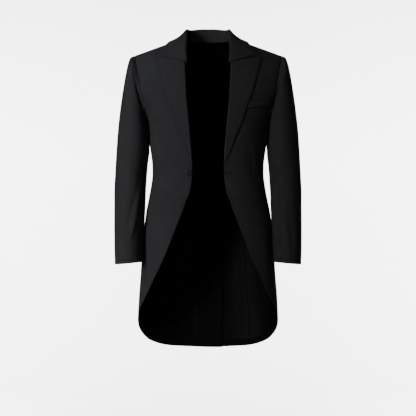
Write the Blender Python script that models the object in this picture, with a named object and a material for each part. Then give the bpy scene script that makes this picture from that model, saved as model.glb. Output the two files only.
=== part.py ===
"""Black morning coat with peak lapels, worn open and hollow: every cut piece is a thin closed wall.

The frame's origin is the middle of the neck's base, +Z is up and the coat faces -Y.
The wearer's left is +X. Tables are in millimetres and degrees, and the meshes are in metres.
"""
import math

import bpy
import numpy as np

MM = 0.001

# Driving dimensions
WALL = 2.0
SEAM = 0.3
WAIST_GAP = 0.25
RIDGE_GAP = 0.6
SQUARENESS = 2.3
RIDGE_ROUNDING = 40.0
UNDERARM = 360.0
UNDERARM_HEIGHT = -262.0
SHOULDER = 235.0
SHOULDER_HEIGHT = -38.0
ARMHOLE_LEAN = 0.2
NAPE_LEVEL = 60.0
BACK_SEAM_TOP = 250.0
WAIST_CORNER = 528.0
SEAM_ROWS = 13
FRONT_ROWS = [0.6, 12, 28, 48, 74, 102, 132, 162, 192, 222, 252, 280, 304, 326, 343, 355, 360]
LAPEL_LIFT = 4.6
LAPEL_ROLL = 5.8
LAPEL_TURN = 3.2
BREAK_HEIGHT = -382.0
BREAK_EASE = 50.0
GORGE_ROWS = 4
CUTAWAY_CORNER = 86.0
SEAM_FOOT = 1070.0
VENT_TOP = 545.0
VENT_LEAD = 24.0
VENT_EASE = 14.0
VENT_SPREAD = 9.0
VENT_UNDERLAP = 38.0
VENT_STEP = 3.0
UNDERLAP_ROOT = 0.1
BUTTON_SHANK = 0.9
BUTTON_PLACE = (-58.0, -416.0)
BUTTON_PROFILE = [(8.4, 0), (9.7, 0.7), (10.0, 1.8), (9.6, 3.2), (8.7, 4.0), (7.6, 3.6), (6.8, 2.6)]

# Rings of the body, from the shoulder's ridge down to the hem.
# "level" is the way down the cloth, "slope" is the shoulder's fall to the side.
RING_COLUMNS = ("level", "height", "slope", "half", "front", "mid", "back")
RINGS = [
    (0, 36.4, 0.370, 250, 7.85, 8, 8.15),
    (4, 36.2, 0.370, 250, 3, 8, 13),
    (12, 34.8, 0.370, 250, -6, 8, 22),
    (25, 29.4, 0.370, 251, -19, 8, 35),
    (50, 14.8, 0.365, 252, -40, 7, 57),
    (90, -15.4, 0.345, 253, -65, 6, 80),
    (140, -58, 0.295, 254, -87, 5, 101),
    (200, -111, 0.215, 250, -103, 3, 115),
    (260, -166, 0.125, 232, -112, 2, 122),
    (310, -214, 0.050, 208, -117, 1, 123),
    (360, -262, 0, 190.2, -119, 0, 121),
    (428, -330, 0, 185.2, -118, 0, 114),
    (500, -402, 0, 177.8, -113, 0, 104),
    (514, -416, 0, 177.8, -112, 0, 103),
    (552, -454, 0, 182.2, -112, 0, 105),
    (598, -500, 0, 190.6, -114, 0, 112),
    (642, -544, 0, 199.5, -116, 1, 120),
    (698, -600, 0, 207, -118, 2, 127),
    (768, -670, 0, 212.7, -120, 4, 133),
    (821, -723, 0, 215.8, -121, 5, 136),
    (898, -800, 0, 221.3, -122, 7, 139),
    (998, -900, 0, 226, -123, 9, 142),
    (1100, -1002, 0, 228.5, -124, 10, 144),
]

# Front edge of the forepart, from the neck to the waist seam, as seen from the front
FRONT_EDGE_COLUMNS = ("x", "height")
FRONT_EDGE = [
    (88, 14.5),
    (82.5, 0),
    (79.3, -30),
    (75.4, -68),
    (72.5, -118),
    (69.1, -179),
    (60.6, -269),
    (53.8, -345),
    (51.3, -370),
    (49.4, -386),
    (49.7, -419),
    (52.6, -448),
    (58, -478),
    (65.5, -497),
]

# Roll line and outer edge of the lapel
ROLL_COLUMNS = ("x", "height")
ROLL = [(71.8, -69), (69.2, -118), (65.8, -179), (57.3, -269), (50.7, -345), (48.2, -380)]
LAPEL_EDGE_COLUMNS = ("x", "height")
LAPEL_EDGE = [
    (171, -44.6),
    (154.5, -97),
    (135.7, -169),
    (124, -197),
    (105.5, -253),
    (86, -300),
    (62.5, -361),
    (53.5, -380),
]
GORGE_COLUMNS = ("x", "height")
GORGE = [(71.8, -69), (112, -56.6), (171, -44.6)]

# How the lapel turns round the forepart's edge, and how it lies at the break: way out from the
# roll line and lift above the forepart
TURN_COLUMNS = ("x", "lift")
TURN_ROUND = [(0, -1.2), (-0.2, 1.0), (0.35, 3.2), (1.5, 4.9)]
TURN_FLAT = [(0, 4.6), (0.7, 4.95), (1.4, 5.25), (2.2, 5.5)]

# Lower edge of the skirt and tails, round from the waist seam's front end to the centre back
HEM_COLUMNS = ("angle", "height")
HEM = [
    (17.8, -500),
    (20.2, -531),
    (24.2, -569),
    (28.8, -612),
    (35.5, -667),
    (41.9, -709),
    (48.6, -745),
    (56.6, -786),
    (65.4, -819),
    (76, -848),
    (84, -868),
    (90, -884),
    (96, -899),
    (103, -915),
    (113.5, -935),
    (125, -955),
    (150, -977),
    (180, -984),
]

WAIST_COLUMNS = ("angle", "height")
WAIST = [(17, -497.5), (40, -480), (69, -452), (95, -438), (120, -432), (150, -430)]

# Seam between side body or skirt and back, and the neck edge of the back
BACK_SEAM_COLUMNS = ("level", "angle")
BACK_SEAM = [(300, 133), (350, 140), (400, 145), (470, 150), (528, 152), (620, 150), (1100, 146)]
SIDE_SEAM_COLUMNS = ("level", "angle")
SIDE_SEAM = [(360, 93), (540, 90)]
NECK_COLUMNS = ("level", "x")
NECK = [(0, 88), (14, 82), (34, 66), (50, 38), (60, 0.2)]

# Soft folds pressed into the body's cloth; depth is outward
FOLD_COLUMNS = ("angle_top", "angle_low", "level_top", "level_low", "width", "depth")
FOLDS = [
    (62, 58, 640, 900, 9, 1.6),
    (84, 78, 600, 940, 8, -2.0),
    (108, 112, 620, 1000, 9, 2.4),
    (132, 128, 600, 1040, 8, -2.2),
    (164, 162, 640, 1060, 9, 2.0),
    (36, 56, 400, 560, 7, -1.2),
    (44, 70, 420, 560, 6, 1.0),
]

# Sleeve rings by their outermost and innermost points seen from the front, and their depth
SLEEVE_COLUMNS = ("outer_x", "outer_z", "inner_x", "inner_z", "front", "back")
SLEEVE = [
    (249, -44.5, 191.2, -266, -59, 71),
    (256, -62, 190.5, -273, -65, 75),
    (266, -110, 189.6, -285, -71, 77),
    (274.8, -165, 188.4, -301, -75, 77),
    (282.8, -225, 187.1, -321, -75, 75),
    (289.4, -290, 187.4, -346, -74, 71),
    (293.2, -350, 190.5, -376, -73, 66),
    (296.4, -410, 194.2, -416, -73, 61),
    (299.3, -480, 198.0, -482, -76, 54),
    (299, -545, 200, -545, -83, 43),
    (298.2, -610, 204.6, -608, -93, 28.5),
    (297, -660, 206, -657, -101, 16),
    (295, -703, 207.5, -695, -106, 3.5),
]
FRONT_ARM_SEAM = 118.0
BACK_ARM_SEAM = 262.0

# Soft folds of the sleeve; "turn" is round the arm from its outer side over the front
ARM_FOLD_COLUMNS = ("turn_top", "turn_low", "ring_top", "ring_low", "width", "depth")
ARM_FOLDS = [
    (60, 10, 3.5, 8.5, 16, 2.4),
    (95, 45, 4.5, 9.5, 14, -2.0),
    (120, 70, 5.5, 11.0, 14, 1.8),
    (300, 340, 4.0, 9.0, 16, 2.0),
    (275, 310, 5.0, 10.0, 14, -2.0),
    (30, 24, 1.2, 3.6, 12, -1.2),
]

# Collar stations from the gorge to the centre back. "over" is the level, negative on the front.
COLLAR_COLUMNS = ("stand_x", "stand_over", "fold_x", "fold_over", "fold_lift", "edge_x", "edge_over",
                  "edge_lift", "curl")
COLLAR = [
    (73.4, -137.4, 70, -137.4, 5.4, 151, -76.7, 4.6, 1.0),
    (76.8, -90, 72, -88, 7.4, 142, -57, 4.6, 1.2),
    (80.2, -44, 69, -42, 12, 133.5, -35, 4.4, 1.8),
    (85.6, 0, 63.6, 0, 23.2, 121, 0, 4, 2.5),
    (79.6, 12.6, 59.5, 10.8, 23.9, 109, 24, 3.8, 2.1),
    (63.5, 33.2, 47.6, 21.2, 26.1, 85, 50, 3.4, 1.7),
    (36.5, 48, 23.7, 28.8, 27.2, 47, 70, 3.2, 1.4),
    (0, 57.5, 0, 32.1, 27.3, 0, 77, 3.2, 1.3),
]
COLLAR_ROWS = [0, 0.5, 1, 1.5, 2, 2.35, 2.65, 2.85, 3.05, 3.3, 3.6, 4, 4.6, 5.3, 6.1, 7]
FOLD_WIDTH = 6.4

# Breast welt on the wearer's left, by its four corners seen from the front
WELT = {"x_inner": 101.0, "x_outer": 195.0, "top_inner": -193.5, "top_outer": -176.5, "depth": 26.0,
        "face": 1.9, "under": 0.5}

COLOURS = {
    "wool": ((0.012, 0.012, 0.014, 1.0), 0.85),
    "button": ((0.010, 0.010, 0.011, 1.0), 0.35),
}


def column(table, columns, name):
    return np.array([row[columns.index(name)] for row in table], float)


def smooth(xs, ys, at):
    """Monotone cubic curve through the points (xs, ys), read at the places in at."""
    at = np.clip(np.asarray(at, float), xs[0], xs[-1])
    step = np.diff(xs)
    rise = np.diff(ys) / step
    grade = np.zeros(len(xs))
    for k in range(1, len(xs) - 1):
        if rise[k - 1] * rise[k] > 0:
            before = 2 * step[k] + step[k - 1]
            after = step[k] + 2 * step[k - 1]
            grade[k] = (before + after) / (before / rise[k - 1] + after / rise[k])
    grade[0] = rise[0]
    grade[-1] = rise[-1]
    k = np.clip(np.searchsorted(xs, at, side="right") - 1, 0, len(xs) - 2)
    u = (at - xs[k]) / step[k]
    return ((2 * u ** 3 - 3 * u ** 2 + 1) * ys[k]
            + (u ** 3 - 2 * u ** 2 + u) * step[k] * grade[k]
            + (3 * u ** 2 - 2 * u ** 3) * ys[k + 1]
            + (u ** 3 - u ** 2) * step[k] * grade[k + 1])


def ring(name, level):
    return smooth(column(RINGS, RING_COLUMNS, "level"), column(RINGS, RING_COLUMNS, name), level)


def shoulder_run(x):
    """Way that the shoulder's slope acts over: rounded off at the middle of the neck."""
    return np.sqrt(x ** 2 + RIDGE_ROUNDING ** 2) - RIDGE_ROUNDING


def bare_body(angle, level):
    """Point of the coat's outer face: angle 0 is the centre front, 90 the side, 180 the back."""
    turn = np.radians(np.asarray(angle, float))
    side = np.sin(turn)
    ahead = np.cos(turn)
    x = ring("half", level) * np.sign(side) * np.abs(side) ** (2 / SQUARENESS)
    reach = np.where(ahead > 0, ring("front", level), ring("back", level)) - ring("mid", level)
    y = ring("mid", level) + reach * np.abs(ahead) ** (2 / SQUARENESS)
    z = ring("height", level) - ring("slope", level) * shoulder_run(x)
    return np.stack([x, y, z], -1)


def unit(vectors):
    return vectors / np.linalg.norm(vectors, axis=-1, keepdims=True)


def body_normal(angle, level):
    turn_step = 0.2
    level_step = 0.5
    above = np.maximum(level - level_step, 0)
    below = level + level_step
    across = bare_body(angle + turn_step, level) - bare_body(angle - turn_step, level)
    down = bare_body(angle, below) - bare_body(angle, above)
    return unit(np.cross(down, across))


def window(at, start, end, ease=0.25):
    """One between start and end, eased to nothing over a share of the way at both ends."""
    share = (at - start) / (end - start)
    inside = np.clip(np.minimum(share, 1 - share) / ease, 0, 1)
    return inside * inside * (3 - 2 * inside)


def body_folds(angle, level):
    total = np.zeros(np.broadcast(angle, level).shape)
    for top, low, start, end, width, depth in FOLDS:
        share = np.clip((level - start) / (end - start), 0, 1)
        line = top + (low - top) * share
        total += depth * np.exp(-((angle - line) / width) ** 2) * window(level, start, end)
    return total


def body(angle, level, lift=0.0):
    angle = np.asarray(angle, float)
    level = np.asarray(level, float)
    height = body_folds(angle, level) + lift
    return bare_body(angle, level) + body_normal(angle, level) * height[..., None]


def front_angle(x, level):
    share = np.clip(np.abs(x) / ring("half", level), 0, 1)
    return np.degrees(np.arcsin(share ** (SQUARENESS / 2)))


def front_level(x, height):
    """Level of the front point that lies at x and height."""
    levels = np.arange(0, 1100, 1.0)
    found = []
    for one_x, one_height in zip(np.ravel(x), np.ravel(height)):
        heights = ring("height", levels) - ring("slope", levels) * shoulder_run(one_x)
        found.append(np.interp(-one_height, -heights, levels))
    return np.array(found).reshape(np.shape(x))


def on_front(x, height, lift=0.0):
    level = front_level(x, height)
    return body(front_angle(x, level), level, lift)


def on_shoulder(x, over, lift):
    """Point at x and signed level: negative over the front, positive over the back."""
    level = np.abs(over)
    angle = front_angle(x, level)
    angle = np.where(np.asarray(over) > 0, 180 - angle, angle)
    return bare_body(angle, level) + body_normal(angle, level) * np.asarray(lift)[..., None]


def level_of(height):
    """Level below the underarm, where the rings lie flat."""
    return UNDERARM + UNDERARM_HEIGHT - np.asarray(height, float)


def armhole_x(level):
    """Where the armhole's leaning plane cuts the ring at this level."""
    run = SHOULDER
    for _ in range(12):
        height = ring("height", level) - ring("slope", level) * shoulder_run(run)
        run = SHOULDER + ARMHOLE_LEAN * (height - SHOULDER_HEIGHT)
    return run


def armhole_angle(level):
    return front_angle(armhole_x(level), level)


def front_edge_angle(level):
    x = column(FRONT_EDGE, FRONT_EDGE_COLUMNS, "x")
    levels = front_level(x, column(FRONT_EDGE, FRONT_EDGE_COLUMNS, "height"))
    return smooth(levels, front_angle(x, levels), level)


def curve(table, columns, key, value, at):
    return smooth(column(table, columns, key), column(table, columns, value), at)


def hem_level(angle):
    return level_of(curve(HEM, HEM_COLUMNS, "angle", "height", angle))


def waist_level(angle):
    return level_of(curve(WAIST, WAIST_COLUMNS, "angle", "height", angle))


def back_seam_angle(level):
    """The seam starts at the armhole's back edge and curves down to the waist."""
    levels = column(BACK_SEAM, BACK_SEAM_COLUMNS, "level")
    angles = column(BACK_SEAM, BACK_SEAM_COLUMNS, "angle")
    start = 180 - armhole_angle(BACK_SEAM_TOP)
    return smooth(np.append(BACK_SEAM_TOP, levels), np.append(start, angles), level)


def side_seam_angle(level):
    return curve(SIDE_SEAM, SIDE_SEAM_COLUMNS, "level", "angle", level)


def material(name):
    colour, roughness = COLOURS[name]
    made = bpy.data.materials.get(name)
    if made is None:
        made = bpy.data.materials.new(name)
        made.use_nodes = True
        shader = made.node_tree.nodes["Principled BSDF"]
        shader.inputs["Base Color"].default_value = colour
        shader.inputs["Roughness"].default_value = roughness
        shader.inputs["Metallic"].default_value = 0.0
    return made


def add_object(name, points, faces, slot):
    mesh = bpy.data.meshes.new(name)
    mesh.from_pydata([tuple(p * MM) for p in points], [], faces)
    mesh.materials.append(material(slot))
    made = bpy.data.objects.new(name, mesh)
    bpy.context.collection.objects.link(made)
    return made


def add_wall(name, outer, inner, mirrored=False, slot="wool"):
    """Closed sheet between two grids of points; the rows run down and the columns go round."""
    rows, columns = outer.shape[:2]
    points = np.concatenate([outer.reshape(-1, 3), inner.reshape(-1, 3)])
    if mirrored:
        points = points * np.array([-1.0, 1.0, 1.0])
    count = rows * columns
    faces = []
    for i in range(rows - 1):
        for j in range(columns - 1):
            a = i * columns + j
            quad = (a, a + columns, a + columns + 1, a + 1)
            faces.append(quad)
            faces.append(tuple(count + k for k in reversed(quad)))
    border = [j for j in range(columns)]
    border += [i * columns + columns - 1 for i in range(1, rows)]
    border += [(rows - 1) * columns + j for j in range(columns - 2, -1, -1)]
    border += [i * columns for i in range(rows - 2, 0, -1)]
    for k, first in enumerate(border):
        second = border[(k + 1) % len(border)]
        faces.append((first, second, count + second, count + first))
    if mirrored:
        faces = [tuple(reversed(face)) for face in faces]
    return add_object(name, points, faces, slot)


def grid_normal(grid):
    down = np.gradient(grid, axis=0)
    across = np.gradient(grid, axis=1)
    return unit(np.cross(down, across))


def add_panel(name, angle, level, mirrored, lift=0.0):
    """Wall of one panel whose grid is given by angles and levels on the body."""
    add_wall(name, body(angle, level, lift), body(angle, level, lift - WALL), mirrored)


def shares(count):
    return np.linspace(0, 1, count)


def bowed(count):
    """Shares from 0 to 1 that crowd towards 1, where an edge turns along the row."""
    return np.sin(shares(count) * math.pi / 2)


def side_trim(level):
    """Half a seam's gap, in degrees round the body."""
    return np.degrees(0.75 * SEAM / ring("half", level))


def fronts():
    across = shares(11)
    upper = np.array(FRONT_ROWS)
    upper_rows = [np.full(len(across), one) for one in upper]
    for share in shares(10)[1:]:
        inner = front_edge_angle(UNDERARM + share * (front_level(*FRONT_EDGE[-1]) - UNDERARM))
        outer = side_seam_angle(UNDERARM + share * (SIDE_SEAM[-1][0] - UNDERARM))
        for _ in range(4):
            angle = inner + (outer - inner) * across
            row = UNDERARM + share * (waist_level(angle) - UNDERARM - WAIST_GAP)
            inner = front_edge_angle(row[0])
            outer = side_seam_angle(row[-1]) - side_trim(row[-1])
        upper_rows.append(row)
    level = np.array(upper_rows)
    angle = np.zeros_like(level)
    for i, row in enumerate(level):
        inner = front_edge_angle(row[0])
        if row[-1] < UNDERARM:
            outer = armhole_angle(row[-1])
        else:
            outer = side_seam_angle(row[-1]) - side_trim(row[-1])
        angle[i] = inner + (outer - inner) * across
    for name, mirrored in (("front_left", False), ("front_right", True)):
        add_panel(name, angle, level, mirrored)


def patch(top, low, left, right, rows, columns):
    """Grid of angles and levels filled in between four edges, each a function of a share."""
    u = shares(columns)
    v = shares(rows)
    t = np.array([top(k) for k in u])[None]
    b = np.array([low(k) for k in u])[None]
    lf = np.array([left(k) for k in v])[:, None]
    rt = np.array([right(k) for k in v])[:, None]
    U = u[None, :, None]
    V = v[:, None, None]
    flat = ((1 - U) * (1 - V) * t[:, :1] + U * (1 - V) * t[:, -1:]
            + (1 - U) * V * b[:, :1] + U * V * b[:, -1:])
    grid = (1 - V) * t + V * b + (1 - U) * lf + U * rt - flat
    return grid[..., 0], grid[..., 1]


def side_bodies():
    top_level = BACK_SEAM_TOP

    def top(share):
        level = UNDERARM - (UNDERARM - top_level) * math.sin(share * math.pi / 2) ** 2
        angle = 180 - float(armhole_angle(level))
        start = float(side_seam_angle(UNDERARM) + side_trim(UNDERARM))
        return max(angle, start) - float(side_trim(level)) * share, level + SEAM / 2

    def left(share):
        level = UNDERARM + SEAM / 2 + share * (float(waist_level(90)) - UNDERARM - WAIST_GAP)
        return float(side_seam_angle(level) + side_trim(level)), level

    def right(share):
        last = WAIST_CORNER - WAIST_GAP
        level = top_level + share * (last - top_level)
        return float(back_seam_angle(level) - side_trim(level)), level

    def low(share):
        start = left(1)[0]
        angle = start + (right(1)[0] - start) * share
        return angle, float(waist_level(angle)) - WAIST_GAP

    angle, level = patch(top, low, left, right, SEAM_ROWS, 7)
    for name, mirrored in (("side_body_left", False), ("side_body_right", True)):
        add_panel(name, angle, level, mirrored)


def neck_angle(level):
    x = np.interp(level, column(NECK, NECK_COLUMNS, "level"), column(NECK, NECK_COLUMNS, "x"))
    return 180 - front_angle(x, level)


def backs():
    """Both backs; the right one carries the vent's underlap beneath the left one."""
    seam_top = BACK_SEAM_TOP
    rows_neck = RIDGE_GAP + (NAPE_LEVEL - RIDGE_GAP) * bowed(7)
    rows_blade = np.linspace(NAPE_LEVEL, seam_top, 9)[1:]
    rows_waist = np.linspace(seam_top, WAIST_CORNER, SEAM_ROWS)[1:]
    rows_vent = np.array([VENT_TOP, VENT_TOP + VENT_EASE])
    centre = 180 - front_angle(SEAM / 2, UNDERARM)
    for name, mirrored in (("back_left", False), ("back_right", True)):
        across = shares(10)
        last_angle = centre - UNDERLAP_ROOT * mirrored
        rows = list(np.concatenate([rows_neck, rows_blade, rows_waist, rows_vent]))
        last = rows[-1]
        angle = []
        level = []
        for one in rows:
            outer = 180 - armhole_angle(one) if one < seam_top else back_seam_angle(one) + side_trim(one)
            inner = neck_angle(one) if one < NAPE_LEVEL else last_angle
            angle.append(outer + (inner - outer) * across)
            level.append(np.full(len(across), one))
        for share in shares(13)[1:]:
            row = last + share * (hem_level(angle[-1]) - last)
            outer = back_seam_angle(row[0]) + side_trim(row[0])
            angle.append(outer + (last_angle - outer) * across)
            level.append(last + share * (hem_level(angle[-1]) - last))
        angle = np.array(angle)
        level = np.array(level)
        lift = np.zeros_like(angle)
        if mirrored:
            angle, level, lift = add_underlap(angle, level)
        add_panel(name, angle, level, mirrored, lift)


def add_underlap(angle, level):
    """Three more columns past the centre, sunk beneath the other back below the vent's top."""
    sunk = np.clip((level[:, -1] - VENT_TOP + VENT_LEAD) / VENT_LEAD, 0, 1)
    opened = np.clip((level[:, -1] - VENT_TOP) / VENT_EASE, 0, 1)
    near = np.clip(1 - np.abs(180 - angle) / VENT_SPREAD, 0, 1)
    near = near * near * (3 - 2 * near)
    lift = -VENT_STEP * sunk[:, None] * near ** 0.5
    extra_angle = []
    extra_lift = []
    for share in shares(4)[1:]:
        past = np.degrees(VENT_UNDERLAP * share / ring("half", level[:, -1])) * opened
        extra_angle.append(angle[:, -1] + past + UNDERLAP_ROOT * share)
        extra_lift.append(-VENT_STEP * sunk)
    angle = np.concatenate([angle, np.array(extra_angle).T], axis=1)
    lift = np.concatenate([lift, np.array(extra_lift).T], axis=1)
    level = np.concatenate([level, np.repeat(level[:, -1:], 3, axis=1)], axis=1)
    return angle, level, lift


def skirts():
    front = HEM[0][0]

    def top(share):
        start = front
        end = float(back_seam_angle(WAIST_CORNER) - side_trim(WAIST_CORNER))
        angle = start + (end - start) * share
        return angle, float(waist_level(angle)) + WAIST_GAP

    def left(share):
        start = top(0)[1]
        level = start + share * (float(hem_level(CUTAWAY_CORNER)) - start)
        angles = np.linspace(front, CUTAWAY_CORNER, 200)
        return float(np.interp(level, hem_level(angles), angles)), level

    def right(share):
        start = top(1)[1]
        end = float(hem_level(back_seam_angle(SEAM_FOOT)))
        level = start + share * (end - start)
        return float(back_seam_angle(level) - side_trim(level)), level

    def low(share):
        angle = CUTAWAY_CORNER + (right(1)[0] - CUTAWAY_CORNER) * share
        return angle, float(hem_level(angle))

    angle, level = patch(top, low, left, right, 17, 15)
    for name, mirrored in (("skirt_left", False), ("skirt_right", True)):
        add_panel(name, angle, level, mirrored)


def armhole_loop(turns):
    """Points of the armhole, from the shoulder over the front; turns are in degrees."""
    levels = np.linspace(0, UNDERARM, 721)
    angles = armhole_angle(levels)
    front = bare_body(angles, levels)
    rear = bare_body(180 - angles, levels)
    heights = front[:, 2]
    middle = (heights[0] + heights[-1]) / 2
    half = (heights[0] - heights[-1]) / 2
    loop = []
    for turn in turns:
        height = middle + half * math.cos(math.radians(turn))
        path = front if math.sin(math.radians(turn)) >= 0 else rear
        loop.append([np.interp(-height, -path[:, 2], path[:, k]) for k in range(3)])
    return np.array(loop)


def bare_sleeve(turns, places):
    """Points of the sleeve's outer face; places run from 0 at the armhole to the cuff's ring."""
    turn = np.radians(turns)
    outward = unit(np.array([1.0, 0.0, -ARMHOLE_LEAN]))
    rings = [armhole_loop(turns) + outward * SEAM]
    for outer_x, outer_z, inner_x, inner_z, front, back in SLEEVE:
        centre = np.array([(outer_x + inner_x) / 2, (front + back) / 2, (outer_z + inner_z) / 2])
        reach = np.array([(outer_x - inner_x) / 2, 0, (outer_z - inner_z) / 2])
        depth = np.array([0, (front - back) / 2, 0])
        rings.append(centre + np.cos(turn)[:, None] * reach + np.sin(turn)[:, None] * depth)
    rings = np.array(rings)
    known = np.arange(len(rings), dtype=float)
    grid = np.zeros((len(places), len(turns), 3))
    for j in range(len(turns)):
        for k in range(3):
            grid[:, j, k] = smooth(known, rings[:, j, k], places)
    return grid


def sleeve_faces(turns, places):
    """Outer and inner points of the sleeve's wall, with its soft folds."""
    turn_step = 1.0
    place_step = 0.05
    last = float(len(SLEEVE))
    bare = bare_sleeve(turns, places)
    across = bare_sleeve(turns + turn_step, places) - bare_sleeve(turns - turn_step, places)
    below = bare_sleeve(turns, np.minimum(places + place_step, last))
    above = bare_sleeve(turns, np.maximum(places - place_step, 0))
    normal = unit(np.cross(across, below - above))
    fold = np.zeros(bare.shape[:2])
    for top, low, start, end, width, depth in ARM_FOLDS:
        share = np.clip((places - start) / (end - start), 0, 1)[:, None]
        line = top + (low - top) * share
        apart = (turns[None] - line + 180) % 360 - 180
        fold += depth * np.exp(-(apart / width) ** 2) * window(places, start, end)[:, None]
    outer = bare + normal * fold[..., None]
    inner = outer - normal * WALL
    inner[0] = keep_outside_armhole(inner[0])
    return outer, inner


def sleeves():
    seam_turn = 0.9 * SEAM
    places = np.concatenate([np.arange(0, 4, 0.5), np.arange(4, len(SLEEVE) + 0.1, 1.0)])
    top_turns = np.linspace(BACK_ARM_SEAM - 360 + seam_turn, FRONT_ARM_SEAM - seam_turn, 22)
    under_turns = np.linspace(FRONT_ARM_SEAM + seam_turn, BACK_ARM_SEAM - seam_turn, 12)
    for part, turns in (("top_sleeve", top_turns), ("under_sleeve", under_turns)):
        outer, inner = sleeve_faces(turns, places)
        for side, mirrored in (("left", False), ("right", True)):
            add_wall(part + "_" + side, outer[:, ::-1], inner[:, ::-1], mirrored)


def keep_outside_armhole(points):
    """The wall's inner points at the armhole stay a seam's gap away from the armhole's plane."""
    lean = SHOULDER + ARMHOLE_LEAN * (points[:, 2] - SHOULDER_HEIGHT) + SEAM
    kept = points.copy()
    kept[:, 0] = np.maximum(kept[:, 0], lean)
    return kept


def lapels():
    """Each lapel wraps round the forepart's edge at the roll line and lies over the chest."""
    rows = 19
    down = shares(rows)
    roll_x = column(ROLL, ROLL_COLUMNS, "x")
    roll_z = column(ROLL, ROLL_COLUMNS, "height")
    edge_x = column(LAPEL_EDGE, LAPEL_EDGE_COLUMNS, "x")
    edge_z = column(LAPEL_EDGE, LAPEL_EDGE_COLUMNS, "height")
    gorge_x = column(GORGE, GORGE_COLUMNS, "x")
    gorge_z = column(GORGE, GORGE_COLUMNS, "height")
    in_z = roll_z[0] + (roll_z[-1] - roll_z[0]) * down
    in_x = smooth(-roll_z, roll_x, -in_z)
    out_z = edge_z[0] + (edge_z[-1] - edge_z[0]) * down
    out_x = smooth(-edge_z, edge_x, -out_z)
    gorge_fall = (gorge_z[-1] - gorge_z[0]) / (gorge_x[-1] - gorge_x[0])
    outer = []
    for i in range(rows):
        turned = float(np.clip((in_z[i] - BREAK_HEIGHT) / BREAK_EASE, 0, 1))
        row = []
        for (round_x, round_lift), (flat_x, flat_lift) in zip(TURN_ROUND, TURN_FLAT):
            x = in_x[i] + flat_x + (round_x - flat_x) * turned
            row.append(on_front(x, in_z[i], flat_lift + (round_lift - flat_lift) * turned))
        start_x = in_x[i] + min(LAPEL_TURN, (out_x[i] - in_x[i]) * 0.6)
        for share in shares(9):
            x = start_x + (out_x[i] - start_x) * share
            z = in_z[i] + (out_z[i] - in_z[i]) * share
            bow = np.interp(x, gorge_x, gorge_z) - gorge_z[0] - gorge_fall * (x - gorge_x[0])
            z += bow * max(1 - i / GORGE_ROWS, 0)
            lift = LAPEL_LIFT + (LAPEL_ROLL - LAPEL_LIFT) * (1 - share) ** 3
            row.append(on_front(x, z, lift))
        outer.append(row)
    outer = np.array(outer)
    inner = outer - grid_normal(outer) * WALL
    for name, mirrored in (("lapel_left", False), ("lapel_right", True)):
        add_wall(name, outer, inner, mirrored)


def collar():
    """Stand, rolled crest and fall, from one gorge round the neck to the other."""
    stations = np.arange(len(COLLAR), dtype=float)
    at = {}
    for name in COLLAR_COLUMNS:
        at[name] = smooth(stations, column(COLLAR, COLLAR_COLUMNS, name), np.array(COLLAR_ROWS, float))
    stand = on_shoulder(at["stand_x"], at["stand_over"], 0.0)
    base = on_shoulder(at["fold_x"], at["fold_over"], 0.0)
    fold = on_shoulder(at["fold_x"], at["fold_over"], at["fold_lift"])
    edge = on_shoulder(at["edge_x"], at["edge_over"], at["edge_lift"])
    mirror = np.array([-1.0, 1.0, 1.0])
    path = np.concatenate([fold, fold[:-1][::-1] * mirror])
    along = unit(np.gradient(path, axis=0)[:len(fold)])
    away = fold - (stand + edge) / 2
    away = unit(away - along * (away * along).sum(-1, keepdims=True))
    spread = np.cross(along, away)
    spread = spread * np.sign((spread * (fold - base)).sum(-1, keepdims=True))
    inward = fold - spread * FOLD_WIDTH
    middle = (inward + fold) / 2
    section = [stand, (stand + inward) / 2, inward]
    for turn in (45, 90, 135):
        arc = math.radians(turn)
        section.append(middle + (away * math.sin(arc) - spread * math.cos(arc)) * FOLD_WIDTH / 2)
    for share in shares(8):
        x = at["fold_x"] + (at["edge_x"] - at["fold_x"]) * share
        over = at["fold_over"] + (at["edge_over"] - at["fold_over"]) * share
        lift = at["edge_lift"] + (at["fold_lift"] - at["edge_lift"]) * (1 - share) ** at["curl"]
        section.append(on_shoulder(x, over, lift))
    half = np.stack(section, axis=1)
    grid = np.concatenate([half, half[:-1][::-1] * mirror])
    add_wall("collar", grid, grid - grid_normal(grid) * WALL)


def breast_welt():
    columns = shares(8)
    rows = shares(3)
    top = WELT["top_inner"] + (WELT["top_outer"] - WELT["top_inner"]) * columns
    x = WELT["x_inner"] + (WELT["x_outer"] - WELT["x_inner"]) * columns
    x = np.repeat(x[None], len(rows), axis=0)
    height = top[None] - WELT["depth"] * rows[:, None]
    add_wall("breast_welt", on_front(x, height, WELT["face"]), on_front(x, height, WELT["under"]))


def front_button():
    """Turned disc with a raised rim, on the right forepart."""
    x, height = BUTTON_PLACE
    level = front_level(abs(x), height)
    angle = front_angle(abs(x), level)
    mirror = np.array([-1.0, 1.0, 1.0])
    normal = body_normal(angle, level) * mirror
    centre = body(angle, level, BUTTON_SHANK) * mirror
    side = unit(np.cross(np.array([0, 0, 1.0]), normal))
    up = np.cross(normal, side)
    around = 32
    points = [centre]
    for radius, rise in BUTTON_PROFILE:
        for k in range(around):
            turn = 2 * math.pi * k / around
            points.append(centre + normal * rise + radius * (side * math.cos(turn) + up * math.sin(turn)))
    points.append(centre + normal * BUTTON_PROFILE[-1][1])
    faces = [(0, 1 + (k + 1) % around, 1 + k) for k in range(around)]
    for r in range(len(BUTTON_PROFILE) - 1):
        for k in range(around):
            a = 1 + r * around + k
            b = 1 + r * around + (k + 1) % around
            faces.append((a, b, b + around, a + around))
    last = 1 + (len(BUTTON_PROFILE) - 1) * around
    top = len(points) - 1
    faces += [(last + k, last + (k + 1) % around, top) for k in range(around)]
    add_object("front_button", np.array(points), faces, "button")


for old in list(bpy.data.objects):
    bpy.data.objects.remove(old, do_unlink=True)

fronts()
side_bodies()
backs()
skirts()
sleeves()
lapels()
collar()
breast_welt()
front_button()
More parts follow.
